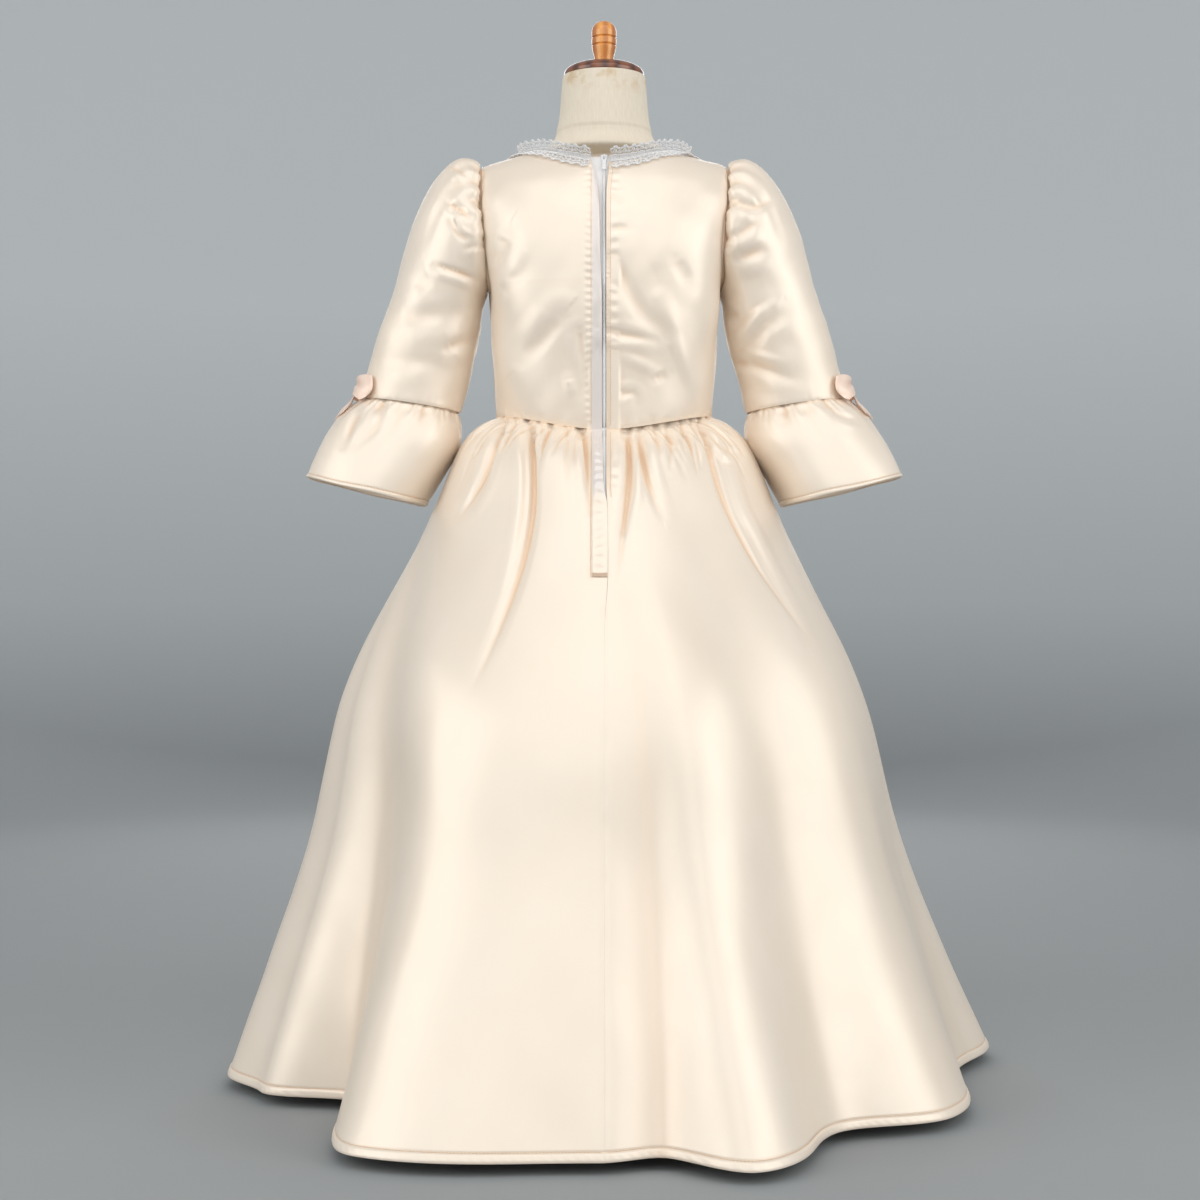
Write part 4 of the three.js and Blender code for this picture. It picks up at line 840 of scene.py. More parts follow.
def wall_of_cloth(cloth, across, down, wall=WALL, closed=False):
    """Points, faces and the weave's places of a wall of cloth under its surface."""
    a, d = np.meshgrid(across, down)
    outer, normal = cloth.at(a, d)
    weft = length_along(outer, 1)
    weft = weft - weft[:, weft.shape[1] // 2, None]
    # Painted shade: a warmer, darker tint in the creases and in the fold beside the coil, and a greyer tint
    # on the lap over the zip, partly its tape and partly shade.
    painted_fold_shade, tape_and_lap_shade = zip_painted_shades(outer) if cloth.zipped else (0, 0)
    tone = point(np.maximum(painted_crease_shade(outer, normal, closed) * (1 - 0.9 * tape_and_lap_shade), painted_fold_shade), tape_and_lap_shade, 0)
    # Nine numbers a point: how far it lies along the cloth, the weft's direction, and its tone of painted
    # shade.
    grain = np.concatenate([point(weft, length_along(outer, 0), 0), unit(np.gradient(outer, axis=1)),
                            tone], axis=-1)
    inner = (outer - wall * normal)[::COARSE, ::COARSE]
    inner_grain = grain[::COARSE, ::COARSE]
    if closed:
        outer, grain, inner, inner_grain = (x[:, :-1] for x in (outer, grain, inner, inner_grain))
    fine = np.arange(outer[..., 0].size).reshape(outer.shape[:2])
    rough = fine.size + np.arange(inner[..., 0].size).reshape(inner.shape[:2])
    faces4 = [quads(fine, closed), quads(rough, closed)[:, ::-1]]
    ends = (0, -1)
    around = [(np.append(fine[e], fine[e, 0]), np.append(rough[e], rough[e, 0])) if closed
              else (fine[e], rough[e]) for e in ends]
    faces3 = [rim(*around[0], True), rim(*around[1], False)]
    if not closed:
        faces3 += [rim(fine[:, 0], rough[:, 0], False), rim(fine[:, -1], rough[:, -1], True)]
    points = np.concatenate([outer.reshape(-1, 3), inner.reshape(-1, 3)])
    weave = np.concatenate([grain.reshape(-1, 9), inner_grain.reshape(-1, 9)])
    return points, [np.concatenate(faces4), np.concatenate(faces3)], weave


# ---- Making pieces ----
def give_vectors(mesh, name, vectors):
    if vectors.size:
        attribute = mesh.attributes.new(name, "FLOAT_VECTOR", "POINT")
        attribute.data.foreach_set("vector", vectors.ravel())


def make_piece(name, points, faces, material, nodes=(), weave=None, body=GOWN, sharp=50):
    """One object from points in mm. faces is a list of arrays of triangles or quads."""
    if sum(signed_volume(points, group) for group in faces) < 0:
        faces = [group[:, ::-1] for group in faces]
    mesh = bpy.data.meshes.new(name)
    mesh.from_pydata((points * MM).tolist(), [], [face for group in faces for face in group.tolist()])
    if weave is not None:
        give_vectors(mesh, "grain", weave[:, :3] * MM)
        give_vectors(mesh, "weft", weave[:, 3:6])
        give_vectors(mesh, "tone", weave[:, 6:])
    mesh.shade_smooth()
    if sharp:
        mesh.set_sharp_from_angle(angle=radians(sharp))
    mesh.materials.append(material)
    piece = bpy.data.objects.new(name, mesh)
    bpy.context.scene.collection.objects.link(piece)
    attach(piece, body)
    if nodes:
        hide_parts(*nodes)
    return piece


def capped_rings(grid, start, end):
    """Points and faces of a solid: rings of points, closed by a fan at each end."""
    index = np.arange(grid[..., 0].size).reshape(grid.shape[:2])
    wrap = np.roll(index, -1, axis=1)
    full = np.full(index.shape[1], index.size)
    caps = [np.stack([full, wrap[0], index[0]], axis=-1), np.stack([index[-1], wrap[-1], full + 1], axis=-1)]
    return np.concatenate([grid.reshape(-1, 3), [start, end]]), [quads(index, True), np.concatenate(caps)]


def tubes(paths, normals, radius, sides=4):
    """Points and faces of round threads along paths, all with the same number of points."""
    tangents = unit(np.gradient(paths, axis=1))
    across = unit(np.cross(tangents, normals))
    out = np.cross(across, tangents)
    turns = 2 * np.pi * np.arange(sides) / sides
    ring = np.stack([across * cos(t) + out * sin(t) for t in turns], axis=2)
    points = paths[:, :, None] + radius * ring
    index = np.arange(points[..., 0].size).reshape(points.shape[:3])
    wrapped = np.concatenate([index, index[..., :1]], axis=2)
    corners = (wrapped[:, :-1, :-1], wrapped[:, :-1, 1:], wrapped[:, 1:, 1:], wrapped[:, 1:, :-1])
    side = np.stack(corners, axis=-1).reshape(-1, 4)
    first, last = index[:, 0, ::-1], index[:, -1]
    return points.reshape(-1, 3), [side, first.reshape(-1, sides), last.reshape(-1, sides)]


def join(parts):
    """One list of points and faces out of several."""
    points, faces, count = [], [], 0
    for part_points, part_faces in parts:
        points.append(part_points)
        faces.extend(group + count for group in part_faces)
        count += len(part_points)
    return np.concatenate(points), faces


def stitches(places, directions, normals, long=2.2, radius=0.28):
    """Short straight stitches that lie on the cloth, sunk by half their thickness."""
    half = directions * long / 2
    lift = normals * radius * 0.5
    rise = normals * radius * 0.7
    paths = np.stack([places - half, places - half * 0.5 + rise, places + half * 0.5 + rise,
                      places + half], axis=1) + lift[:, None]
    return tubes(paths, np.repeat(normals[:, None], 4, axis=1), radius)


def stitched_line(cloth, across, down, every=3.2):
    """Stitches along a line on the cloth, evenly spaced."""
    p, n = cloth.at(across, down)
    run = np.concatenate([[0], np.cumsum(np.linalg.norm(np.diff(p, axis=0), axis=1))])
    where = np.arange(every, run[-1] - every, every)
    place = np.stack([np.interp(where, run, p[:, k]) for k in range(3)], axis=-1)
    ahead = np.stack([np.interp(where + 1, run, p[:, k]) for k in range(3)], axis=-1)
    normal = unit(np.stack([np.interp(where, run, n[:, k]) for k in range(3)], axis=-1))
    return stitches(place, unit(ahead - place), normal)


# ---- Materials ----
class Finish:
    """A material with a Principled shader, whose constants sit on its own sockets."""

    def __init__(self, name, **constants):
        self.material = bpy.data.materials.new(name)
        self.material.use_nodes = True
        self.tree = self.material.node_tree
        self.shader = self.tree.nodes["Principled BSDF"]
        for socket, value in constants.items():
            self.shader.inputs[socket.replace("_", " ")].default_value = value

    def add(self, kind, inputs=None, **settings):
        node = self.tree.nodes.new(kind)
        for key, value in settings.items():
            setattr(node, key, value)
        for socket, value in (inputs or {}).items():
            if isinstance(value, bpy.types.NodeSocket):
                self.tree.links.new(value, node.inputs[socket])
            else:
                node.inputs[socket].default_value = value
        return node

    def drive(self, socket, output):
        self.tree.links.new(output, self.shader.inputs[socket])

    def place(self, scale, attribute="grain"):
        """Coordinates in metres on the cloth, or in space, times scale."""
        if attribute:
            source = self.add("ShaderNodeAttribute", attribute_name=attribute).outputs["Vector"]
        else:
            source = self.add("ShaderNodeTexCoord").outputs["Object"]
        return self.add("ShaderNodeMapping", {"Vector": source, "Scale": scale}).outputs["Vector"]

    def noise(self, vector, scale, detail=3, rough=0.5):
        inputs = {"Vector": vector, "Scale": scale, "Detail": detail, "Roughness": rough}
        return self.add("ShaderNodeTexNoise", inputs).outputs["Fac"]

    def ramp(self, factor, stops):
        node = self.add("ShaderNodeValToRGB", {"Fac": factor})
        elements = node.color_ramp.elements
        while len(elements) < len(stops):
            elements.new(0.5)
        for element, (place, color) in zip(elements, stops):
            element.position = place
            element.color = (*color, 1)
        return node.outputs["Color"]

    def spread(self, factor, low, high):
        node = self.add("ShaderNodeMapRange", {"Value": factor, "To Min": low, "To Max": high})
        return node.outputs["Result"]

    def bump(self, height, distance, strength=1.0, under=None):
        inputs = {"Height": height, "Distance": distance, "Strength": strength}
        if under is not None:
            inputs["Normal"] = under
        return self.add("ShaderNodeBump", inputs).outputs["Normal"]

    def blend(self, factor, color, other):
        node = self.add("ShaderNodeMix", data_type="RGBA")
        self.tree.links.new(factor, node.inputs["Factor"])
        self.tree.links.new(color, node.inputs[6])
        node.inputs[7].default_value = other
        return node.outputs[2]

    def times(self, a, b):
        return self.add("ShaderNodeMath", {0: a, 1: b}, operation="MULTIPLY").outputs["Value"]


TAPE_AND_LAP_SHADE_COLOR = (0.78, 0.73, 0.72, 1)  # the greyer color of the lap over the zip: partly its tape behind, partly painted shade


def satin(name, light, deep, painted_shade_color, roughness=0.37, metallic=0.2):
    """Duchess satin: fine warp threads that spread a highlight sideways, and a soft sheen.
    Its creases and the fold beside the zip's coil are tinted warmer and darker as painted shade,
    and the lap over the zip is greyer, partly for the white tape behind it and partly as painted shade."""
    finish = Finish(name, Metallic=metallic, Specular_IOR_Level=0.6, Anisotropic=0.55,
                    Sheen_Weight=0.1, Sheen_Roughness=0.4, Sheen_Tint=(1, 0.95, 0.9, 1))
    weft = finish.add("ShaderNodeAttribute", attribute_name="weft")
    finish.drive("Tangent", weft.outputs["Vector"])
    clouds = finish.noise(finish.place((1, 0.6, 1)), 9, 4, 0.55)
    # The tone attribute carries painted shade: x warms and darkens the creases and the fold beside the coil,
    # y greys the lap over the zip, partly for its tape and partly as shade.
    tone = finish.add("ShaderNodeAttribute", attribute_name="tone").outputs["Vector"]
    split = finish.add("ShaderNodeSeparateXYZ", {"Vector": tone})
    color = finish.ramp(clouds, [(0.32, deep), (0.68, light)])
    # The lap's greyer tint: partly the white tape behind it, partly painted shade.
    tape_and_lap_shade_share = finish.times(split.outputs["Y"], 0.75)
    color = finish.blend(tape_and_lap_shade_share, color, TAPE_AND_LAP_SHADE_COLOR)
    # Painted shade: the creases and the fold beside the coil turn warmer and darker.
    color = finish.blend(finish.times(split.outputs["X"], 0.8), color, (*painted_shade_color, 1))
    finish.drive("Base Color", color)
    threads = finish.noise(finish.place((2600, 120, 1)), 1, 2)
    slubs = finish.noise(finish.place((90, 700, 1)), 1, 2)
    haze = finish.noise(finish.place((1, 1, 1)), 30)
    finish.drive("Roughness", finish.spread(haze, roughness - 0.04, roughness + 0.05))
    fine = finish.bump(threads, 0.00008, 0.5)
    finish.drive("Normal", finish.bump(slubs, 0.00006, 0.4, under=fine))
    return finish.material


def woven(name, light, deep, pitch, roughness, depth, stain=None):
    """Plain weave of pitch metres, such as linen or a zip's tape."""
    finish = Finish(name, Sheen_Weight=0.2, Sheen_Roughness=0.6, Specular_IOR_Level=0.3)
    finish.shader.inputs["Roughness"].default_value = roughness
    space = finish.place((1, 1, 1))
    split = finish.add("ShaderNodeSeparateXYZ", {"Vector": space})
    waves = []
    for axis in ("X", "Y"):
        turns = finish.times(split.outputs[axis], 2 * pi / pitch)
        waves.append(finish.add("ShaderNodeMath", {0: turns}, operation="SINE").outputs["Value"])
    weave = finish.times(waves[0], waves[1])
    yarn = finish.noise(finish.place((600, 90, 1)), 1, 3)
    tone = finish.add("ShaderNodeMath", {0: finish.times(weave, 0.18), 1: yarn}, operation="ADD")
    color = finish.ramp(tone.outputs["Value"], [(0.25, deep), (0.8, light)])
    if stain:
        color = stain(finish, color)
    finish.drive("Base Color", color)
    under = finish.bump(weave, depth, 0.7)
    finish.drive("Normal", finish.bump(yarn, depth, 0.5, under=under))
    return finish.material


def neck_stains(finish, color):
    """The yellowed patches of glue under a dress form's wooden cap."""
    space = finish.place((1, 1, 1), attribute=None)
    height = finish.add("ShaderNodeSeparateXYZ", {"Vector": space}).outputs["Z"]
    near = finish.add("ShaderNodeMapRange", {"Value": height, "From Min": 1.018, "From Max": 1.036})
    blots = finish.add("ShaderNodeMapRange", {"Value": finish.noise(space, 46, 4, 0.6),
                                              "From Min": 0.5, "From Max": 0.62})
    amount = finish.times(finish.times(near.outputs["Result"], blots.outputs["Result"]), 0.55)
    mix = finish.add("ShaderNodeMix", {"Factor": amount, "A": color, "B": (0.62, 0.4, 0.16, 1)},
                     data_type="RGBA")
    return mix.outputs["Result"]


def flecked(name, color, other, size, detail=2, rough=0.5, at=(0.3, 0.7), bump=None, gloss=None,
            **constants):
    """One color with flecks of another. other may be a share of the color itself. gloss is a
    noise's size, or None for the flecks' own, and the least and the most roughness."""
    finish = Finish(name, **constants)
    space = finish.place((1, 1, 1), attribute=None)
    flecks = finish.noise(space, size, detail, rough)
    darker = tuple(c * other for c in color) if isinstance(other, float) else other
    finish.drive("Base Color", finish.ramp(flecks, [(at[0], darker), (at[1], color)]))
    if gloss:
        haze = finish.noise(space, gloss[0]) if gloss[0] else flecks
        finish.drive("Roughness", finish.spread(haze, *gloss[1:]))
    if bump:
        finish.drive("Normal", finish.bump(flecks, *bump))
    return finish.material


def varnished(name, dark, light, ring):
    """Turned wood under a glossy varnish, with the grain along Z."""
    finish = Finish(name, Roughness=0.42, Coat_Weight=0.85, Coat_Roughness=0.1)
    space = finish.place((1, 1, 0.12), attribute=None)
    warp = finish.noise(space, 60, 4, 0.6)
    inputs = {"Vector": space, "Scale": ring, "Distortion": 3.5, "Detail": 3, "Detail Scale": 2}
    rings = finish.add("ShaderNodeTexWave", inputs, wave_type="BANDS", bands_direction="X")
    mixed = finish.add("ShaderNodeMath", {0: finish.times(rings.outputs["Fac"], 0.55),
                                          1: finish.times(warp, 0.5)}, operation="ADD")
    finish.drive("Base Color", finish.ramp(mixed.outputs["Value"], [(0.2, dark), (0.85, light)]))
    pores = finish.noise(finish.place((1, 1, 0.05), attribute=None), 900, 2)
    finish.drive("Normal", finish.bump(pores, 0.00005, 0.35))
    return finish.material


# Each satin's last color is the painted shade in its creases.
SATIN = satin("champagne_satin", (0.945, 0.835, 0.715), (0.935, 0.81, 0.675), (0.86, 0.61, 0.41))
RIBBON_SATIN = satin("blush_ribbon", (0.95, 0.77, 0.66), (0.91, 0.69, 0.56), (0.80, 0.42, 0.27))
YARN = {"size": 2400, "bump": (0.00008, 0.5), "Roughness": 0.75, "Sheen_Weight": 0.3,
        "Specular_IOR_Level": 0.35}
LACE_THREAD = flecked("lace_cotton", (0.985, 0.98, 0.99), 0.86, **YARN)
SEWING_THREAD = flecked("peach_thread", (0.86, 0.66, 0.50), 0.86, **YARN)
TAPE_WEAVE = woven("white_tape", (0.95, 0.93, 0.92), (0.88, 0.85, 0.84), 0.0009, 0.8, 0.00012)
COIL = flecked("white_coil", (0.95, 0.945, 0.95), 0.94, 400, Roughness=0.32, Specular_IOR_Level=0.5)
# White enamel on die-cast metal, rubbed thin in places.
ENAMEL = flecked("white_enamel", (0.84, 0.84, 0.86), (0.5, 0.5, 0.52), 900, 4, 0.6, at=(0.3, 0.42),
                 bump=(0.00003, 0.4), gloss=(300, 0.2, 0.34), Specular_IOR_Level=0.6,
                 Coat_Weight=0.4, Coat_Roughness=0.12)
LINEN = woven("cream_linen", (0.87, 0.78, 0.65), (0.80, 0.70, 0.56), 0.0011, 0.85, 0.00012,
              neck_stains)
CAP_WOOD = varnished("mahogany", (0.07, 0.014, 0.006), (0.26, 0.075, 0.022), 22)
KNOB_WOOD = varnished("beech", (0.50, 0.15, 0.03), (0.88, 0.38, 0.08), 30)
IRON = flecked("black_iron", (0.03, 0.03, 0.03), (0.012, 0.012, 0.012), 700, 5, 0.6, at=(0.3, 0.75),
               bump=(0.0002, 0.3), gloss=(None, 0.38, 0.55), Metallic=0.2, Specular_IOR_Level=0.5)

# How many cells each kind of piece has across it, or round it.
COLUMNS = {"skirt_back": 264, "skirt_front": 282, "bodice": 108, "sleeve": 198, "flounce": 264,
           "loop": 60, "tail": 12, "tape": 18}


def cloth_piece(node, cloth, kind, down, closed=False, wall=WALL, material=SATIN):
    """The finished cloth that stands for a node."""
    points, faces, weave = wall_of_cloth(cloth, even(COLUMNS[kind]), down, wall, closed)
    prefix = "woven_" if material is TAPE_WEAVE else "satin_"
    return make_piece(prefix + node, points, faces, material, [node], weave)


# ---- Skirt ----
SKIRT_TALL = WAIST["back"] - HEM_HEIGHT
SKIRT_SLOPE = 1.02  # how much longer the cloth is than the drop
HEM_ROWS = 11 / SKIRT_TALL
SKIRT_ROWS = spaced(-0.0036, (0.01, 0.0014), (0.09, 0.0023), (0.3, 0.0044), (1 - HEM_ROWS, 0.0085),
                    (1, 0.75 / SKIRT_TALL))
SKIRT_RELIEF = [
    tucked_seam(0.8, 4, lambda across, down, p: down * SKIRT_TALL),
    crisp_waist_gathers,
    small_waist_gathers,
    creases(SKIRT_CREASES),
    front_creases(SKIRT_CREASES),
    swell(170, 1.5, 3, (1, 1, 0.35)),
    swell(60, 0.3, 4, (1, 1, 0.5)),
]


def seam_edge(azimuth, side):
    def edge(down):
        p = skirt_point(azimuth, down)
        return azimuth + side * np.degrees(SEWN_GAP / np.hypot(p[..., 0], p[..., 1]))
    return edge


def back_edge(side):
    def edge(down):
        return skirt_azimuth(lap_at(lerp(WAIST["back"], HEM_HEIGHT, down), side), clamp01(down))
    return edge


# How long each kind of panel's hem is.
HEM_WIDTH = {"skirt_back": 680, "skirt_front": 1330}


def skirt_panel(name, kind, from_edge, to_edge, reliefs):
    # The edges' azimuths are worked out once, on a fine scale of the drop.
    scale = np.linspace(-0.01, 1.01, 1200)
    start, end = from_edge(scale), to_edge(scale)

    def surface(across, down):
        first = np.interp(down, scale, start)
        last = np.interp(down, scale, end)
        return skirt_point(lerp(first, last, across), down)

    hem = turned_hem(SKIRT_TALL * SKIRT_SLOPE, HEM_WIDTH[kind])
    cloth = Cloth(surface, [*SKIRT_RELIEF, *reliefs, hem], zipped=bool(reliefs))
    return cloth_piece(name, cloth, kind, SKIRT_ROWS), cloth


def skirt():
    left = skirt_panel("skirt_back_left", "skirt_back", seam_edge(0, 1), back_edge("left"),
                       [left_lap, placket, back_seam])
    right = skirt_panel("skirt_back_right", "skirt_back", back_edge("right"), seam_edge(180, -1),
                        [right_lap, back_seam])
    front = skirt_panel("skirt_front", "skirt_front", seam_edge(180, 1), seam_edge(360, -1), [])
    return {"left": left, "right": right, "front": front}


# ---- Bodice ----
BODICE_UPPER = (1 + np.cos(np.pi * np.linspace(0, 1, 112))) / 2
BODICE_LOWER = np.linspace(0, -1, 97)[1:]
BODICE_ROWS = fitted((1 - np.concatenate([BODICE_UPPER, BODICE_LOWER])) / 2)


def waist_seam(across, down, p):
    return azimuth_of(p) / 360, np.maximum(p[..., 2] - waist_height(azimuth_of(p)), 0)


def armhole_seam(across, down, p):
    """Around the armhole's oval, as a share of a turn, and the distance from its edge."""
    middle = (UNDERARM + SHOULDER["height"]) / 2
    tall = (SHOULDER["height"] - UNDERARM) / 2
    y, z = p[..., 1], p[..., 2] - middle
    turn = np.arctan2(z / tall, y / ARMHOLE_DEEP) / (2 * np.pi)
    inside = lerp(CHEST["wide"], SHOULDER["out"], clamp01((p[..., 2] - UNDERARM) / (2 * tall)))
    oval = np.hypot(z / tall, y / ARMHOLE_DEEP)
    away = np.hypot(np.maximum(inside - np.abs(p[..., 0]), 0), np.maximum(oval - 1, 0) * 55)
    return turn % 1, away


def from_waist(across, down, p):
    return waist_seam(across, down, p)[1]


def from_armhole(across, down, p):
    return armhole_seam(across, down, p)[1]


UNDERARM_ROUNDING = {"reach": 42, "deep": 0.63}


def rounded_underarm(across, down, p, n):
    """Takes the edge off the bend where the bodice stops widening."""
    near = 1 - clamp01(np.abs(p[..., 2] - UNDERARM) / UNDERARM_ROUNDING["reach"])
    return -UNDERARM_ROUNDING["deep"] * near**2


BODICE_SWELLS = [swell(95, 1.5, 6), swell(38, 0.3, 7)]
BODICE_RELIEF = [
    tucked_seam(1, 3.5, from_waist),
    tucked_seam(0.6, 3, from_armhole),
    seam_puckers(64, 15, 0.8, 41, waist_seam),
    seam_puckers(26, 12, 0.55, 47, armhole_seam),
    creases(BODICE_CREASES),
    front_creases(BODICE_CREASES),
    rounded_underarm,
    *BODICE_SWELLS,
]


def bodice_panel(name, face, from_angle, to_angle, reliefs):
    def surface(across, down):
        up = 1 - 2 * down
        angle = lerp(from_angle(up), to_angle(up), across)
        return bodice_point(face, angle, np.where(up < 0, up, up * bodice_top(face, angle)))

    cloth = Cloth(surface, [*BODICE_RELIEF, *reliefs], zipped=bool(reliefs))
    return cloth_piece(name, cloth, "bodice", BODICE_ROWS), cloth


def lap_angle(side):
    def angle(up):
        z = np.where(up < 0, lerp(UNDERARM, WAIST["back"], -up), lerp(UNDERARM, NECKLINE["back"], up))
        wide = np.where(up < 0, lerp(CHEST["wide"], WAIST["wide"], -up), CHEST["wide"])
        return np.degrees(np.arcsin(lap_at(z, side) / wide))
    return angle


def bodice():
    def fixed(angle):
        return lambda up: angle + 0 * up

    front = bodice_panel("bodice_front", -1, fixed(-90), fixed(90), [])
    left = bodice_panel("bodice_back_left", 1, fixed(90), lap_angle("left"), [left_lap])
    right = bodice_panel("bodice_back_right", 1, lap_angle("right"), fixed(-90), [right_lap])
    return {"left": left, "right": right, "front": front}


# ---- Sleeves and flounces ----
def above_elbow(place):
    return (len(SLEEVE) - 1 - place) * SLEEVE_RING


def small_cap_gathers(across, place, p, n):
    return -pleats(360 * across, place, FINE_CAP, 15)


def small_flounce_gathers(across, place, p, n):
    return -pleats(360 * across, place, FINE_FLOUNCE, 18)


def elbow_puckers(across, place, p, n):
    return -pleats(360 * across, above_elbow(place), ELBOW_DENTS, 23)


def arm(side, name):
    mirror = side < 0
    surface = dented(SLEEVE, cap_gather_depth)
    seed = 50 + side
    reliefs = [tucked_seam(2.0, 0.5, lambda across, place, p: place),
               tucked_seam(0.8, 4, lambda across, place, p: above_elbow(place)),
               small_cap_gathers, elbow_puckers, creases(SLEEVE_CREASES),
               front_creases(SLEEVE_CREASES),
               swell(85, 1.2, seed), swell(34, 0.3, seed + 9)]
    cloth = Cloth(surface, reliefs, mirror=mirror)
    rows = spaced(-0.4, (2, 0.045), (9, 0.072))
    sleeve = cloth_piece("sleeve_" + name, cloth, "sleeve", rows, closed=True)

    surface = dented(FLOUNCE, flounce_gather_depth)
    last = len(FLOUNCE) - 1
    turned = turned_hem(SEWING["flounce"], 780, band=6, high=0.8)

    def hem(across, place, p, n):
        return turned(across, place / last, p, n)

    reliefs = [tucked_seam(1.3, 0.2, lambda across, place, p: place),
               small_flounce_gathers, creases(FLOUNCE_CREASES), hem, swell(70, 0.9, seed + 20)]
    cloth = Cloth(surface, reliefs, mirror=mirror)
    rows = spaced(-0.16, (1, 0.05), (last - 0.32, 0.1), (last, 0.027))
    flounce = cloth_piece("flounce_" + name, cloth, "flounce", rows, closed=True)
    return sleeve, flounce, cloth


# ---- Bows ----
ARM = SLEEVE + FLOUNCE[1:]
ELBOW = len(SLEEVE) - 1
ABOVE = np.hypot(SLEEVE[-1]["x_out"] - SLEEVE[-2]["x_out"], SLEEVE[-1]["z_out"] - SLEEVE[-2]["z_out"])
BELOW = np.hypot(FLOUNCE[1]["x_out"] - FLOUNCE[0]["x_out"], FLOUNCE[1]["z_out"] - FLOUNCE[0]["z_out"])


def arm_plain(around, place):
    return ring_point(row_at(ARM, place), around)


def over_arm(sideways, below, out):
    """A point over the arm: sideways mm towards the back, below mm under the elbow seam."""
    sideways, below, out = np.broadcast_arrays(*(np.asarray(v, float) for v in (sideways, below, out)))
    place = ELBOW + np.where(below < 0, below / ABOVE, below / BELOW)
    around = BOW_AT["around"] + np.degrees(sideways / row_at(ARM, place)["deep"])
    n = normal_of(arm_plain, around, place)
    return arm_plain(around, place) + n * out[..., None]


def bow_loop(side):
    start = BOW_KNOT["wide"] / 2 + 2 * SEAM_GAP

    def surface(around, down):
        a = 2 * np.pi * around
        share = clamp01((1 - np.cos(a)) / 2)
        body = lerp(BOW_LOOP["flat"], 1, np.sin(np.pi * share**0.8))
        out = BOW_LOOP["seat"] + BOW_LOOP["thick"] * BOW_SOFT["fuller"] / 2 * (1 + np.sin(a) * body)
        tall = lerp(BOW_LOOP["tall_in"], BOW_LOOP["tall_out"] * BOW_SOFT["taller"], ease(share**0.8))
        # The ribbon is pinched into soft pleats where the knot holds it, and its far end
        # is rounded and hangs a little.
        edge = 2 * down - 1
        pinch = 1.3 * np.cos(3 * np.pi * down) * (1 - ease(share / 0.8))
        soft = 0.7 * np.sin(2 * np.pi * (0.8 * down + share)) * share
        long = BOW_LOOP["long"] * BOW_SOFT["longer"] * (1 - BOW_SOFT["round"] * edge**2)
        below = tall * edge / 2 - BOW_AT["above"] + BOW_SOFT["droop"] * share**2
        out = out + (pinch + soft) * np.tanh(3 * np.sin(a)) + BOW_SOFT["tip"] * share * edge
        return over_arm(side * (start + long * share), below, np.maximum(out, BOW_SEAT))
    return surface


def bow_tail(side):
    start = -BOW_AT["above"] + BOW_KNOT["tall"] / 2 + SEAM_GAP

    def surface(across, down):
        off = across - 0.5
        sideways = side * (BOW_TAIL["from"] + BOW_TAIL["spread"] * down)
        sideways = sideways + off * BOW_SOFT["tail"] * lerp(BOW_TAIL["wide_in"], BOW_TAIL["wide_out"], down)
        below = start + BOW_TAIL["long"] * down - side * off * BOW_TAIL["slant"] * down
        lift = BOW_TAIL["flutter"] * (1 + np.sin(np.pi * (0.2 + 1.3 * down)))
        pleat = 0.7 * np.cos(2 * np.pi * across) * (1 - ease(down / 0.6))
        return over_arm(sideways, below, BOW_TAIL["seat"] + lift + pleat)
    return surface


def bow_knot(mirror):
    """A rounded block, with the pleats of the ribbon that is wrapped round it."""
    rings, columns = 24, 36
    polar, turn = np.meshgrid(np.linspace(0, pi, rings + 1)[1:-1],
                              np.linspace(0, 2 * pi, columns + 1)[:-1], indexing="ij")
    ball = point(np.sin(polar) * np.cos(turn), np.sin(polar) * np.sin(turn), np.cos(polar))
    ball, faces = capped_rings(ball, (0, 0, 1), (0, 0, -1))
    power, halves = BOW_KNOT["square"], (BOW_KNOT["wide"] / 2, BOW_KNOT["thick"] / 2, BOW_KNOT["tall"] / 2)
    x, y, z = (np.sign(ball[:, k]) * np.abs(ball[:, k]) ** power * halves[k] for k in range(3))
    pleats = 1 + 0.05 * np.cos(2 * np.pi * x / 3.6)
    p = over_arm(x, z - BOW_AT["above"], y * pleats + BOW_KNOT["thick"] / 2 + BOW_SEAT)
    if mirror:
        p = p * np.array([-1, 1, 1])
    return p, faces, np.concatenate([point(x, z, 0), point(0 * x, 0, 1)], axis=-1)


def bow(side, name):
    mirror = side < 0
    pieces = {}
    for end, way in (("back", 1), ("front", -1)):
        loop = Cloth(bow_loop(way), turn=way, mirror=mirror)
        tail = Cloth(bow_tail(way), mirror=mirror)
        for kind, cloth, rows, closed in (("loop", loop, 18, True), ("tail", tail, 30, False)):
            pieces[f"{kind}_{end}"] = cloth_piece(f"bow_{kind}_{end}_{name}", cloth, kind, even(rows),
                                                  closed, RIBBON, RIBBON_SATIN)
    points, faces, weave = bow_knot(mirror)
    knot = "bow_knot_" + name
    pieces["knot"] = make_piece("satin_" + knot, points, faces, RIBBON_SATIN, [knot], weave,
                                sharp=None)
    return pieces


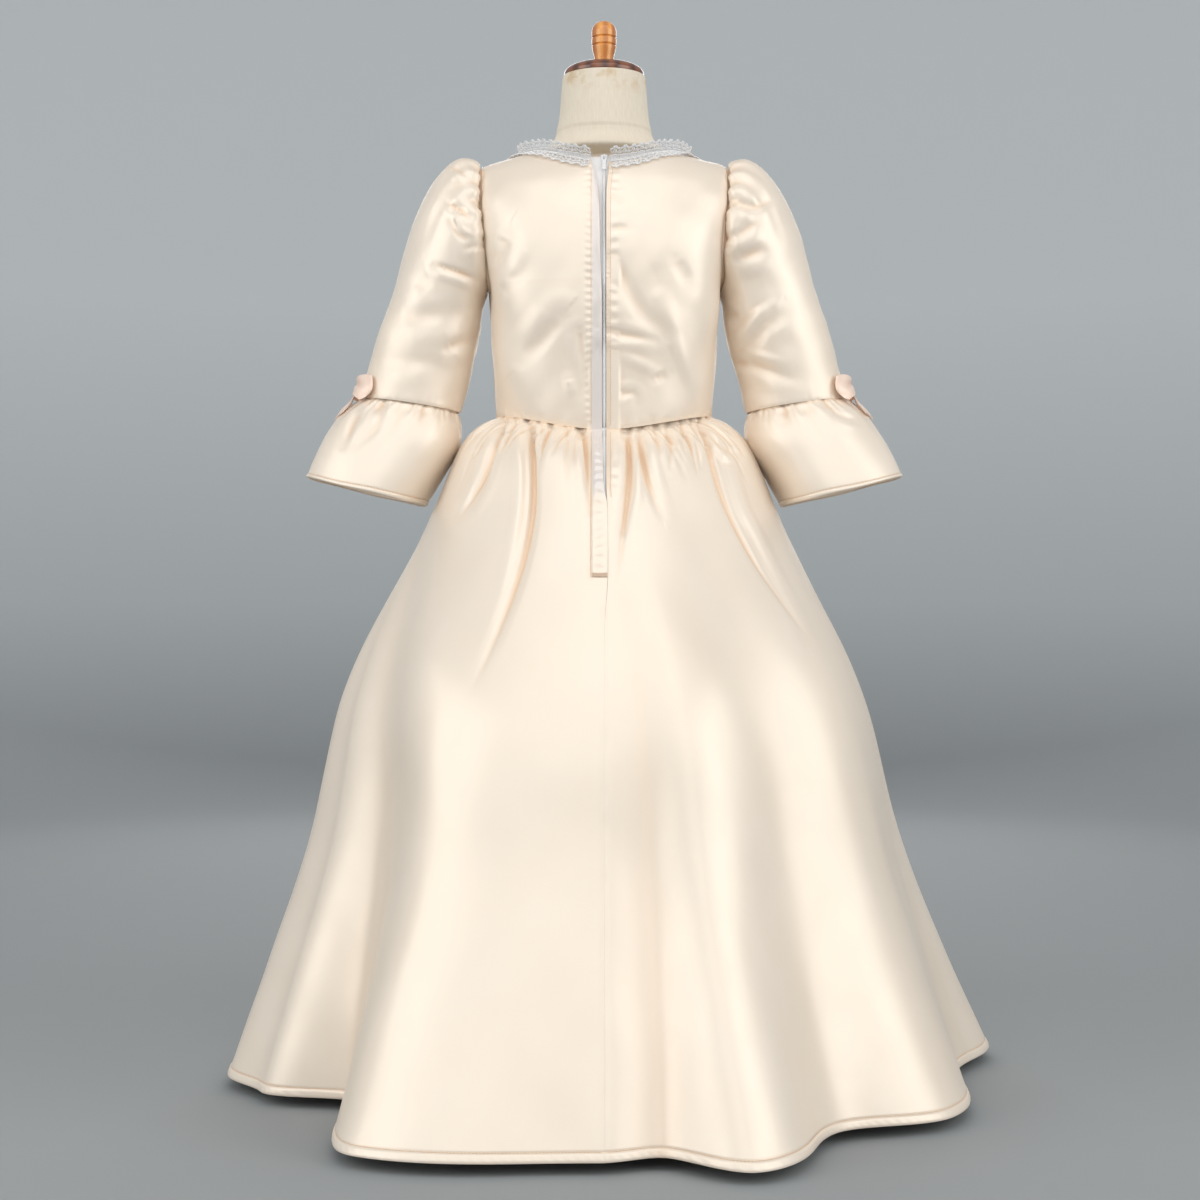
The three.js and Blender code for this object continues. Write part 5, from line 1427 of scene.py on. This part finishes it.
# ---- Neck lace ----
def neckline():
    """The neckline from the zip's left side round the front to its right side: points,
    the bodice's normals there, and the way along."""
    left = np.degrees(np.arcsin(LACE_ENDS["left"] / SHOULDER["out"]))
    right = np.degrees(np.arcsin(LACE_ENDS["right"] / SHOULDER["out"]))
    stretches = [(1, left, NECK_ANGLE), (-1, NECK_ANGLE, -NECK_ANGLE), (1, -NECK_ANGLE, -right)]
    points, normals = [], []
    for face, start, end in stretches:
        angle = lerp(start, end, steps(60))[1 if points else 0 :]
        up = bodice_top(face, angle)

        def surface(across, down, face=face):
            return bodice_point(face, across, -down)

        points.append(bodice_point(face, angle, up))
        normals.append(normal_of(surface, angle, -np.minimum(up, 0.985), -face))
    return np.concatenate(points), np.concatenate(normals)


NECK_POINTS, NECK_NORMALS = neckline()
NECK_RUN = np.concatenate([[0], np.cumsum(np.linalg.norm(np.diff(NECK_POINTS, axis=0), axis=1))])
NECK_LENGTH = NECK_RUN[-1]
SCALLOPS = round(NECK_LENGTH / LACE["pitch"])
NECK_REACH = 6


def neck_at(share):
    want = clamp01(share) * NECK_LENGTH
    p = np.stack([np.interp(want, NECK_RUN, NECK_POINTS[:, k]) for k in range(3)], axis=-1)
    n = unit(np.stack([np.interp(want, NECK_RUN, NECK_NORMALS[:, k]) for k in range(3)], axis=-1))
    i = np.clip(np.searchsorted(NECK_RUN, want), 1, len(NECK_RUN) - 1)
    ahead = NECK_POINTS[np.minimum(len(NECK_RUN) - 1, i + NECK_REACH)]
    behind = NECK_POINTS[np.maximum(0, i - NECK_REACH)]
    over = unit(np.cross(n, unit(ahead - behind)))
    return p, n, over


def standing_place(share, out, wave):
    p, _, over = neck_at(share)
    outwards = unit(over * np.array([1, 1, 0]))
    foot = p - over * STANDING["seat"]
    return foot + point(0, 0, out) + outwards * (out * STANDING["lean"] + wave)[..., None], outwards


def falling_place(share, out, wave):
    p, n, over = neck_at(share)
    p = p + over * (out + FALLING["foot"])[..., None]
    swollen = np.maximum(0, sum(relief(0, 0, p, n) for relief in BODICE_SWELLS))
    clear = FALLING["seat"] + swollen + np.maximum(0, wave)
    return p + n * clear[..., None], n


def oval(at, height, wide, tall, points):
    """A small closed loop in a lace cell, as rows of (share of the cell, share of the height)."""
    a = np.linspace(0, 2 * pi, points)
    return np.stack([at + wide * np.cos(a), height + tall * np.sin(a)], axis=-1)


def lace_cell():
    """The threads of one scallop, each of the same number of points: a close foot, a net of
    crossed threads with a flower of ovals in it, and an edge of small loops."""
    points = 7
    across = np.linspace(0, 1, points)

    def level(height):
        return np.stack([across, np.full(points, height)], axis=-1)

    def slant(start, end, low, high):
        return np.stack([lerp(start, end, across), lerp(low, high, across)], axis=-1)

    net = [level(h) for h in (0.1, 0.17)]
    net += [slant(k / 4, (k + 0.5) / 4, 0.03, 0.24) for k in range(4)]
    net += [slant((k + 0.5) / 4, (k + 1) / 4, 0.24, 0.03) for k in range(4)]
    net += [slant(k / 2, k / 2 + 0.5, 0.26, 0.8) for k in range(2)]
    net += [slant(k / 2 + 0.5, k / 2, 0.26, 0.8) for k in range(2)]
    cords = [level(h) for h in (0.02, 0.25, 0.84)]
    cords += [oval(0.5, 0.54, 0.13, 0.12, points), oval(0, 0.54, 0.1, 0.1, points)]
    cords += [oval((k + 0.5) / 4, 0.93, 0.1, 0.07, points) for k in range(4)]
    return {LACE["thread"]: np.stack(net), LACE["cord"]: np.stack(cords)}


def lace_leaf(name, node, tall, place):
    parts = []
    for radius, cell in lace_cell().items():
        shares = (cell[None, ..., 0] + np.arange(SCALLOPS)[:, None, None]).reshape(-1, cell.shape[1])
        heights = np.repeat(cell[None, ..., 1], SCALLOPS, axis=0).reshape(-1, cell.shape[1])
        scallop = np.abs(np.cos(np.pi * shares))
        out = heights * (tall - LACE["notch"] * scallop)
        wave = LACE["wave"] * heights * np.sin(np.pi * shares * 0.5)
        paths, normals = place(shares / SCALLOPS, out, wave)
        parts.append(tubes(paths, normals, radius, sides=3))
    points, faces = join(parts)
    return make_piece(name, points, faces, LACE_THREAD, [node], sharp=None)


# ---- Zip ----
# Past the waist seam the tapes lie a little deeper, and straight behind the cloth.
PAST_WAIST = {"deep": 1.8, "reach": 8}
ZIP_HEIGHTS = np.linspace(ZIP["top"], ZIP["bottom"], 121)


def into_gown(normal, z):
    """The step from the cloth's outer surface in to the tapes'."""
    near = np.exp(-(((z - WAIST["back"]) / PAST_WAIST["reach"]) ** 2))[..., None]
    way = unit(lerp(normal, np.array([0.0, 1.0, 0.0]), near))
    return -way * (WALL + ZIP["behind"] - TAPE_RAISED + PAST_WAIST["deep"] * near)


def zip_tape(side, name):
    wide = TAPE[name]

    def surface(across, down):
        # down is minus the height, so that the normal comes out as on the panels.
        x = side * lerp(HALF_GAP, wide, across)
        return back_point(x, -down)

    def inset(across, down):
        n = normal_of(surface, across, down, -side)
        return surface(across, down) + into_gown(n, -down)

    def cords(across, down, p, n):
        return 0.12 * np.cos(2 * np.pi * across * wide / 2.4)

    cloth = Cloth(inset, [cords], turn=-side)
    return cloth_piece("zip_tape_" + name, cloth, "tape", -ZIP_HEIGHTS, False, ZIP["thick"],
                       TAPE_WEAVE)


def zip_line(z):
    """The middle of the tapes' outer face, and the way out of it."""
    def surface(across, down):
        return back_point(across, -down)

    rows = ZIP_HEIGHTS[::-1]
    n = normal_of(surface, np.zeros_like(rows), -rows, 1)
    n = n * np.sign(n[:, 1:2])
    middle = back_point(np.zeros_like(rows), rows) + into_gown(n, rows)
    place = np.stack([np.interp(z, rows, middle[:, k]) for k in range(3)], axis=-1)
    return place, unit(np.stack([np.interp(z, rows, n[:, k]) for k in range(3)], axis=-1))


COIL_SIZE = {"pitch": 1.2, "wide": 1.2, "high": 0.65, "thread": 0.42, "points": 9,
             "aside": 0.45, "rise": 1.1, "middle": -0.2}


def zip_coil():
    """Both halves of the closed coil, loop by loop, each hooked into the other's."""
    top = SLIDER["at"] - SLIDER["tall"] / 2
    z = np.arange(ZIP["bottom"] + 1, top, COIL_SIZE["pitch"])
    parts = []
    for side in (1, -1):
        turn = np.linspace(-0.25, 1.0, COIL_SIZE["points"])[None] * 2 * pi
        height = z[:, None] + side * COIL_SIZE["pitch"] / 4 + turn / (2 * pi) * 0.35
        middle, n = zip_line(height)
        x = COIL_SIZE["middle"] + side * (COIL_SIZE["aside"] - COIL_SIZE["wide"] * np.cos(turn))
        out = COIL_SIZE["rise"] + COIL_SIZE["high"] * np.sin(turn)
        paths = middle + n * out[..., None] + point(np.broadcast_to(x, out.shape), 0, 0)
        guide = np.broadcast_to(np.array([0.0, 0.0, 1.0]), paths.shape)
        parts.append(tubes(paths, guide, COIL_SIZE["thread"], sides=3))
    points, faces = join(parts)
    return make_piece("zip_coil", points, faces, COIL)


def zip_head():
    """Where the slider sits, and its lean: y comes out of the tapes and z runs up them."""
    seat, below = back_point(0, SLIDER["at"]), back_point(0, SLIDER["at"] - 2)
    lean = atan2(below[1] - seat[1], seat[2] - below[2])
    inset = WALL + ZIP["behind"]
    place = np.array([0, seat[1] - inset * cos(lean), seat[2] - inset * sin(lean)])
    return place, lean


HEAD_PLACE, HEAD_LEAN = zip_head()


def on_head(points):
    x, y, z = points[..., 0], points[..., 1], points[..., 2]
    c, s = cos(HEAD_LEAN), sin(HEAD_LEAN)
    return HEAD_PLACE + point(x, y * c - z * s, y * s + z * c)


def rounded_outline(corners, cuts=5):
    """A closed outline with its corners rounded off by quadratic curves."""
    corners = np.array(corners, dtype=float)
    found = []
    for before, corner, after in zip(np.roll(corners, 1, axis=0), corners, np.roll(corners, -1, axis=0)):
        nearest = min(np.linalg.norm(before - corner), np.linalg.norm(after - corner))
        reach = min(0.45, 1.2 / max(1e-6, nearest))
        start, end = lerp(corner, before, reach), lerp(corner, after, reach)
        for t in steps(cuts):
            found.append((1 - t) ** 2 * start + 2 * t * (1 - t) * corner + t * t * end)
    return np.array(found)


def rolled_plate(outline, low, thick, edge):
    """A plate with rolled edges: rings of the outline, from its underside round to its face."""
    middle = outline.mean(axis=0)
    rings = []
    for a in np.linspace(-pi / 2, pi / 2, 9):
        scale = 1 + edge * (cos(a) - 1) / np.linalg.norm(outline - middle, axis=1, keepdims=True)
        rings.append((scale, low + thick / 2 + (thick / 2) * sin(a)))
    for share in (0.66, 0.33):
        rings = [(share, low), *rings, (share, low + thick)]
    flat = [(middle + (outline - middle) * scale, y) for scale, y in rings]
    grid = np.stack([point(ring[:, 0], y, ring[:, 1]) for ring, y in flat])
    return capped_rings(grid, (middle[0], low, middle[1]), (middle[0], low + thick, middle[1]))


def zip_slider():
    w, h = SLIDER["wide"] / 2, SLIDER["tall"] / 2
    shield = [(-w, h * 0.6), (-w * 0.6, h), (w * 0.6, h), (w, h * 0.6), (w * 0.7, -h), (-w * 0.7, -h)]
    body = rolled_plate(rounded_outline(shield), SLIDER_SEAT, SLIDER["thick"], 0.7)
    # The bridge is a bent strap over the middle of the body.
    face = SLIDER_SEAT + SLIDER["thick"]
    tall = BRIDGE["tall"] / 2 - BRIDGE["thick"] / 2
    high = BRIDGE["high"] - BRIDGE["thick"] / 2
    half = [(face - 0.4, 1), (face + high * 0.55, 1), (face + high * 0.9, 0.8), (face + high, 0.4)]
    strap = [(0, y, tall * z) for y, z in half] + [(0, y, -tall * z) for y, z in reversed(half)]
    strap = np.array(strap)
    guide = np.broadcast_to(np.array([1.0, 0, 0]), strap.shape)
    bridge = tubes(strap[None], guide[None], BRIDGE["thick"] / 2, sides=10)
    points, faces = join([body, bridge])
    return make_piece("enamel_zip_slider", on_head(points), faces, ENAMEL, ["zip_slider"])


def zip_pull():
    """A waisted tab with an eye, hung on the bridge by the bar across the eye's top."""
    low = SLIDER_SEAT + SLIDER["thick"] + (BRIDGE["high"] - BRIDGE["thick"] - PULL["thick"]) / 2
    top, w, long = PULL["bar"] / 2, PULL["wide"] / 2, PULL["long"]
    half = [(0.8, 0), (1, -1.5), (0.75, -0.55 * long), (1, 2 - long), (0.6, -long)]
    corners = [(w * x, top + z) for x, z in half] + [(-w * x, top + z) for x, z in reversed(half)]
    outline = rounded_outline(np.roll(corners, 1, axis=0), 4)
    eye_top = top - PULL["bar"]
    eye_middle = np.array([0, eye_top - PULL["eye_tall"] / 2])
    away = outline - eye_middle
    turn = np.arctan2(away[:, 1], away[:, 0])
    half = np.array([PULL["eye_wide"] / 2, PULL["eye_tall"] / 2])
    eye = eye_middle + np.stack([np.sign(np.cos(turn)) * np.abs(np.cos(turn)) ** 0.6 * half[0],
                                 np.sign(np.sin(turn)) * np.abs(np.sin(turn)) ** 0.6 * half[1]], axis=-1)
    # One section goes round the ring from the eye, over the face, to the outline and back.
    section = []
    rounding = 0.22
    for share, y in ((0, rounding), (0.06, 0), (0.94, 0), (1, rounding), (1, 1 - rounding), (0.94, 1),
                     (0.86, 0.94), (0.3, 0.94), (0.06, 1), (0, 1 - rounding)):
        flat = lerp(eye, outline, share)
        section.append(point(flat[:, 0], low + PULL["thick"] * y, flat[:, 1]))
    points = np.concatenate(section)
    index = np.arange(len(points)).reshape(len(section), len(outline))
    ring = quads(np.vstack([index, index[:1]]), True)
    return make_piece("enamel_zip_pull", on_head(points), [ring], ENAMEL, ["zip_pull"],
                      body="pull_tab", sharp=35)


# ---- Sewing ----
# In mm: how far above their edges the hems are stitched, how long the flounces are, and how
# far apart the zip's stitches are. The laps' rows run over these shares of the panels.
SEWING = {"hem": 8.6, "cuff": 6.6, "flounce": 120, "zip_every": 2.8}
SEWN_BODICE = np.linspace(0.04, 0.998, 300)
SEWN_SKIRT = {"left": np.linspace(0.003, 0.23, 300), "right": np.linspace(0.003, 0.115, 300)}
BAR = {"rows": 4, "above": 2.2, "apart": 0.7, "long": 2.4, "radius": 0.32}


def across_at(cloth, line, down):
    """The places across a back panel where its x is that of a line, which is by height."""
    across = np.concatenate([np.linspace(0, 0.25, 90), np.linspace(0.75, 1, 90)])
    p = cloth.surface(across[:, None], down[None])
    want = line(p[0, :, 2])
    order = np.argsort(p[:, 0, 0])
    return np.array([np.interp(want[k], p[order, k, 0], across[order]) for k in range(len(down))])


def bar_stitches(cloth):
    """The bar at the placket's foot: rows of upright stitches, close together."""
    for row in range(BAR["rows"]):
        z = PLACKET["bottom"] + BAR["above"] + BAR["apart"] * row
        x = np.arange(lap_at(z, "left") + 0.8, PLACKET["left"] - 1, BAR["apart"])
        down = np.full_like(x, (WAIST["back"] - z) / SKIRT_TALL)
        p, n = cloth.at(across_at(cloth, lambda _: x, down), down)
        upright = unit(np.cross(point(0 * x + 1, 0, 0), n))
        yield stitches(p, upright, n, BAR["long"], BAR["radius"])


def sewing(panels, bodice_panels, flounces):
    """Rows of stitches: the hems, the zip's two laps and the bar at the placket's foot."""
    across = np.linspace(0.001, 0.999, 900)
    hem = np.full_like(across, 1 - SEWING["hem"] / (SKIRT_TALL * SKIRT_SLOPE))
    round_arm = np.linspace(0, 1, 500)
    cuff = np.full_like(round_arm, (len(FLOUNCE) - 1) * (1 - SEWING["cuff"] / SEWING["flounce"]))
    lines = {"left": lambda z: 0 * z + LAP_STITCH,
             "right": lambda z: lap_at(z, "right") - EDGE_RELIEF["stitch"]}
    zipped = []
    for name, line in lines.items():
        for (_, cloth), down in ((bodice_panels[name], SEWN_BODICE), (panels[name], SEWN_SKIRT[name])):
            zipped.append(stitched_line(cloth, across_at(cloth, line, down), down, SEWING["zip_every"]))
    parts = {
        "skirt_stitches": [stitched_line(cloth, across, hem) for _, cloth in panels.values()],
        "zip_stitches": [*zipped, *bar_stitches(panels["left"][1])],
        "cuff_stitches": [stitched_line(cloth, round_arm, cuff) for cloth in flounces],
    }
    for name, groups in parts.items():
        points, faces = join(groups)
        make_piece(name, points, faces, SEWING_THREAD, sharp=None)


# ---- Dress form and stand ----
def between(z, rows, key):
    """A column of the form's table at a height, rising or falling evenly between its rows."""
    heights, values = column(rows, "z"), column(rows, key)
    hop = np.diff(heights)
    slope = np.diff(values) / hop
    ends = np.zeros(len(rows))
    same = slope[1:] * slope[:-1] > 0
    mean = 2 * slope[1:] * slope[:-1] / np.where(same, slope[1:] + slope[:-1], 1)
    ends[1:-1] = np.where(same, mean, 0)
    ends[0], ends[-1] = slope[0], slope[-1]
    i = np.clip(np.searchsorted(heights, z, side="right") - 1, 0, len(rows) - 2)
    t = (z - heights[i]) / hop[i]
    start, end = values[i], values[i + 1]
    return (start * (1 + 2 * t) * (1 - t) ** 2 + end * t**2 * (3 - 2 * t)
            + hop[i] * (ends[i] * t * (1 - t) ** 2 - ends[i + 1] * t**2 * (1 - t)))


NECK_ROUND = 46  # the neck's radius, by which the linen's weave runs round it


def torso():
    shoulder = [{**row, "z": float(shoulder_height(row["wide"])) - WALL - FORM_CLEAR}
                for row in FORM_SHOULDER]
    rows = FORM + shoulder + FORM_NECK
    z = np.concatenate([np.linspace(560, 940, 36), np.linspace(941, 1043, 60)])
    turn = np.linspace(0, 2 * pi, 97)[:-1]
    wide, deep, power = (between(z, rows, key)[:, None] for key in ("wide", "deep", "power"))
    slim = np.where(z[:, None] < 985, 1.0, 0.0)
    x = (wide - slim) * np.sign(np.cos(turn)) * np.abs(np.cos(turn)) ** (2 / power)
    y = (deep - slim) * np.sign(np.sin(turn)) * np.abs(np.sin(turn)) ** (2 / power)
    points, faces = capped_rings(point(x, y, z[:, None] + 0 * turn), (0, 0, z[0]), (0, 0, z[-1]))
    weave = point(turn * NECK_ROUND + 0 * z[:, None], z[:, None], 0).reshape(-1, 3)
    weave = np.concatenate([weave, np.zeros((2, 3))])
    return make_piece("linen_form_torso", points, faces, LINEN, ["form_torso"], weave)


def lathed(name, profile, material, node, columns=64):
    """A turned solid from a profile of (radius, height) that starts and ends on the axis."""
    profile = np.array(profile, dtype=float)
    turn = np.linspace(0, 2 * pi, columns + 1)[:-1]
    r, z = profile[1:-1, :1], profile[1:-1, 1:]
    grid = point(r * np.cos(turn), r * np.sin(turn), z + 0 * turn)
    points, faces = capped_rings(grid, (0, 0, profile[0, 1]), (0, 0, profile[-1, 1]))
    return make_piece(name, points, faces, material, [node], sharp=60)


NECK_TOP = FORM_NECK[-1]["z"]
CAP_BOTTOM = NECK_TOP + SEAM_GAP
KNOB_BOTTOM = CAP_BOTTOM + CAP["height"] + SEAM_GAP


def rounded_corner(radius, height, edge, outward=True, cuts=6):
    """An edge's quarter round, at the outside of a turned profile."""
    low, high = (0, pi / 2) if outward else (-pi / 2, 0)
    turns = np.linspace(low, high, cuts + 1)
    return [(radius - edge + edge * cos(a), height + edge * sin(a)) for a in turns]


def wood():
    dome = []
    for t in steps(24):
        a = pi / 2 * (1 - t)
        dome.append((lerp(CAP["seat"], CAP["radius"], sin(a)),
                     CAP_BOTTOM + CAP["foot"] + (CAP["height"] - CAP["foot"]) * cos(a)))
    foot = rounded_corner(CAP["radius"], CAP_BOTTOM + 1.2, 1.2, outward=False)
    top = CAP_BOTTOM + CAP["height"]
    lathed("turned_form_cap", [(0, CAP_BOTTOM), *foot, *dome, (0, top)], CAP_WOOD,
           "form_cap")
    shares = np.concatenate([np.linspace(0, 0.9, 90), 0.9 + 0.1 * np.sin(np.linspace(0, pi / 2, 24))[1:]])
    rounded = squareness((shares - KNOB["crown"]) / (1 - KNOB["crown"]), 2)
    radius = lerp(KNOB["neck"], KNOB["radius"], ease(shares / KNOB["swell"])) * rounded
    z = shares * KNOB["height"]
    for at in GROOVE["at"]:
        radius = radius - GROOVE["deep"] * hump((z - at) / GROOVE["half"])
    profile = [(0, KNOB_BOTTOM), *zip(radius[:-1], KNOB_BOTTOM + z[:-1]), (0, KNOB_BOTTOM + KNOB["height"])]
    lathed("turned_form_knob", profile, KNOB_WOOD, "form_knob")


def stand():
    low, high = BASE["height"] + SEAM_GAP, FORM[0]["z"] - SEAM_GAP
    lathed("iron_stand_pole", [(0, low), (POLE_RADIUS - 0.5, low), (POLE_RADIUS, low + 0.5),
                               (POLE_RADIUS, high - 0.5), (POLE_RADIUS - 0.5, high), (0, high)],
           IRON, "stand_pole")
    edge = rounded_corner(BASE["radius"], BASE["height"] - BASE["edge"], BASE["edge"], cuts=10)
    lathed("iron_stand_base", [(0, 0), (BASE["radius"] - 0.6, 0), (BASE["radius"], 0.6), *edge,
                               (0, BASE["height"])], IRON, "stand_base", 128)


# ---- Studio ----
SWEEP = {"flat": 2.7, "rise": 1.5, "wall": 3.6}  # metres
# Painted shade on the paper: darker on the floor and lighter up the wall, from the floor up to this height
# in metres.
PAPER_PAINTED_SHADE = [(0.0, (0.335, 0.352, 0.361)), (0.35, (0.58, 0.61, 0.625)), (1.0, (0.80, 0.832, 0.852))]
PAINTED_SHADE_TOP = 1.4


def backdrop():
    """A round sweep of grey paper: a floor that curves up into a wall all round, darker towards the floor as
    painted shade.
    """
    flat, rise = SWEEP["flat"], SWEEP["rise"]
    profile = [(r, 0.0) for r in np.linspace(0.02, flat, 12)]
    profile += [(flat + rise * sin(a), rise * (1 - cos(a))) for a in np.linspace(0, pi / 2, 24)[1:]]
    profile.append((flat + rise, SWEEP["wall"]))
    turn = 2 * pi * steps(128)[:-1]
    r, z = np.array(profile).T
    grid = point(r[:, None] * np.cos(turn), r[:, None] * np.sin(turn), z[:, None] + 0 * turn)
    index = np.arange(grid[..., 0].size).reshape(grid.shape[:2])
    faces = quads(index, True)[:, ::-1].tolist() + [index[0].tolist()]
    mesh = bpy.data.meshes.new("backdrop")
    mesh.from_pydata(grid.reshape(-1, 3).tolist(), [], faces)
    mesh.shade_smooth()
    paper = Finish("grey_paper", Roughness=0.95, Specular_IOR_Level=0.1)
    # Painted shade: the paper's color darkens towards the floor.
    height = paper.add("ShaderNodeSeparateXYZ", {"Vector": paper.place((1, 1, 1), attribute=None)})
    shade = paper.add("ShaderNodeMapRange", {"Value": height.outputs["Z"], "From Max": PAINTED_SHADE_TOP})
    paper.drive("Base Color", paper.ramp(shade.outputs["Result"], PAPER_PAINTED_SHADE))
    mesh.materials.append(paper.material)
    sweep = bpy.data.objects.new("backdrop", mesh)
    bpy.context.scene.collection.objects.link(sweep)


WARM = (1, 0.985, 0.96)
SOFTBOXES = table("name place aim size power color",
    ("left", (2.45, 1.5, 1.35), (0, 0, 0.55), (1.9, 2.4), 30.5, WARM),
    ("right", (-2.45, 1.5, 1.35), (0, 0, 0.55), (1.9, 2.4), 32.5, WARM),
    ("near", (0, 2.9, 1.9), (0, 0, 0.6), (2.6, 1.6), 16, WARM),
    ("far", (0, -2.6, 1.5), (0, 0, 0.6), (2.4, 1.4), 25, (1, 0.99, 0.98)),
    ("over", (0, 1.5, 2.7), (0, 0, 0.5), (2.6, 1.4), 15, WARM))
AIR = {"color": (0.97, 0.985, 1, 1), "strength": 0.4}


def softbox(name, place, aim, size, power, color):
    light = bpy.data.lights.new("softbox_" + name, "AREA")
    light.shape = "RECTANGLE"
    light.size, light.size_y = size
    light.energy = power
    light.color = color
    lamp = bpy.data.objects.new("softbox_" + name, light)
    way = np.array(aim, dtype=float) - np.array(place, dtype=float)
    lamp.location = place
    lamp.rotation_euler = (atan2(np.hypot(way[0], way[1]), -way[2]), 0, atan2(way[1], way[0]) - pi / 2)
    lamp.visible_camera = False
    bpy.context.scene.collection.objects.link(lamp)


def studio():
    backdrop()
    for row in SOFTBOXES:
        softbox(**row)
    world = bpy.data.worlds.new("studio_air")
    world.use_nodes = True
    air = world.node_tree.nodes["Background"].inputs
    air["Color"].default_value = AIR["color"]
    air["Strength"].default_value = AIR["strength"]
    bpy.context.scene.world = world
    camera = bpy.data.cameras.new("camera")
    camera.lens = VIEW["lens"]
    camera.sensor_width = 36
    eye = bpy.data.objects.new("camera", camera)
    eye.location = (VIEW["aside"] * MM, VIEW["distance"] * MM, VIEW["height"] * MM)
    eye.rotation_euler = (pi / 2, 0, pi)
    bpy.context.scene.collection.objects.link(eye)
    bpy.context.scene.camera = eye
    bpy.context.scene.view_settings.view_transform = "Standard"


# ---- Assembly ----
studio()
skirt_panels = skirt()
bodice_panels = bodice()
arms = {name: arm(side, name) for name, side in (("left", 1), ("right", -1))}
bows = {name: bow(side, name) for name, side in (("left", 1), ("right", -1))}
lace = {
    "standing": lace_leaf("lace_neck_standing", "neck_lace_standing", STANDING["tall"], standing_place),
    "falling": lace_leaf("lace_neck_falling", "neck_lace_falling", FALLING["tall"], falling_place),
}
tapes = {"left": zip_tape(1, "left"), "right": zip_tape(-1, "right")}
zip_coil()
zip_slider()
zip_pull()
sewing(skirt_panels, bodice_panels, [made[2] for made in arms.values()])
form = torso()
wood()
stand()

# ---- Each arm's sleeve and flounce ----
for name in ("left", "right"):
    sleeve, flounce, _ = arms[name]
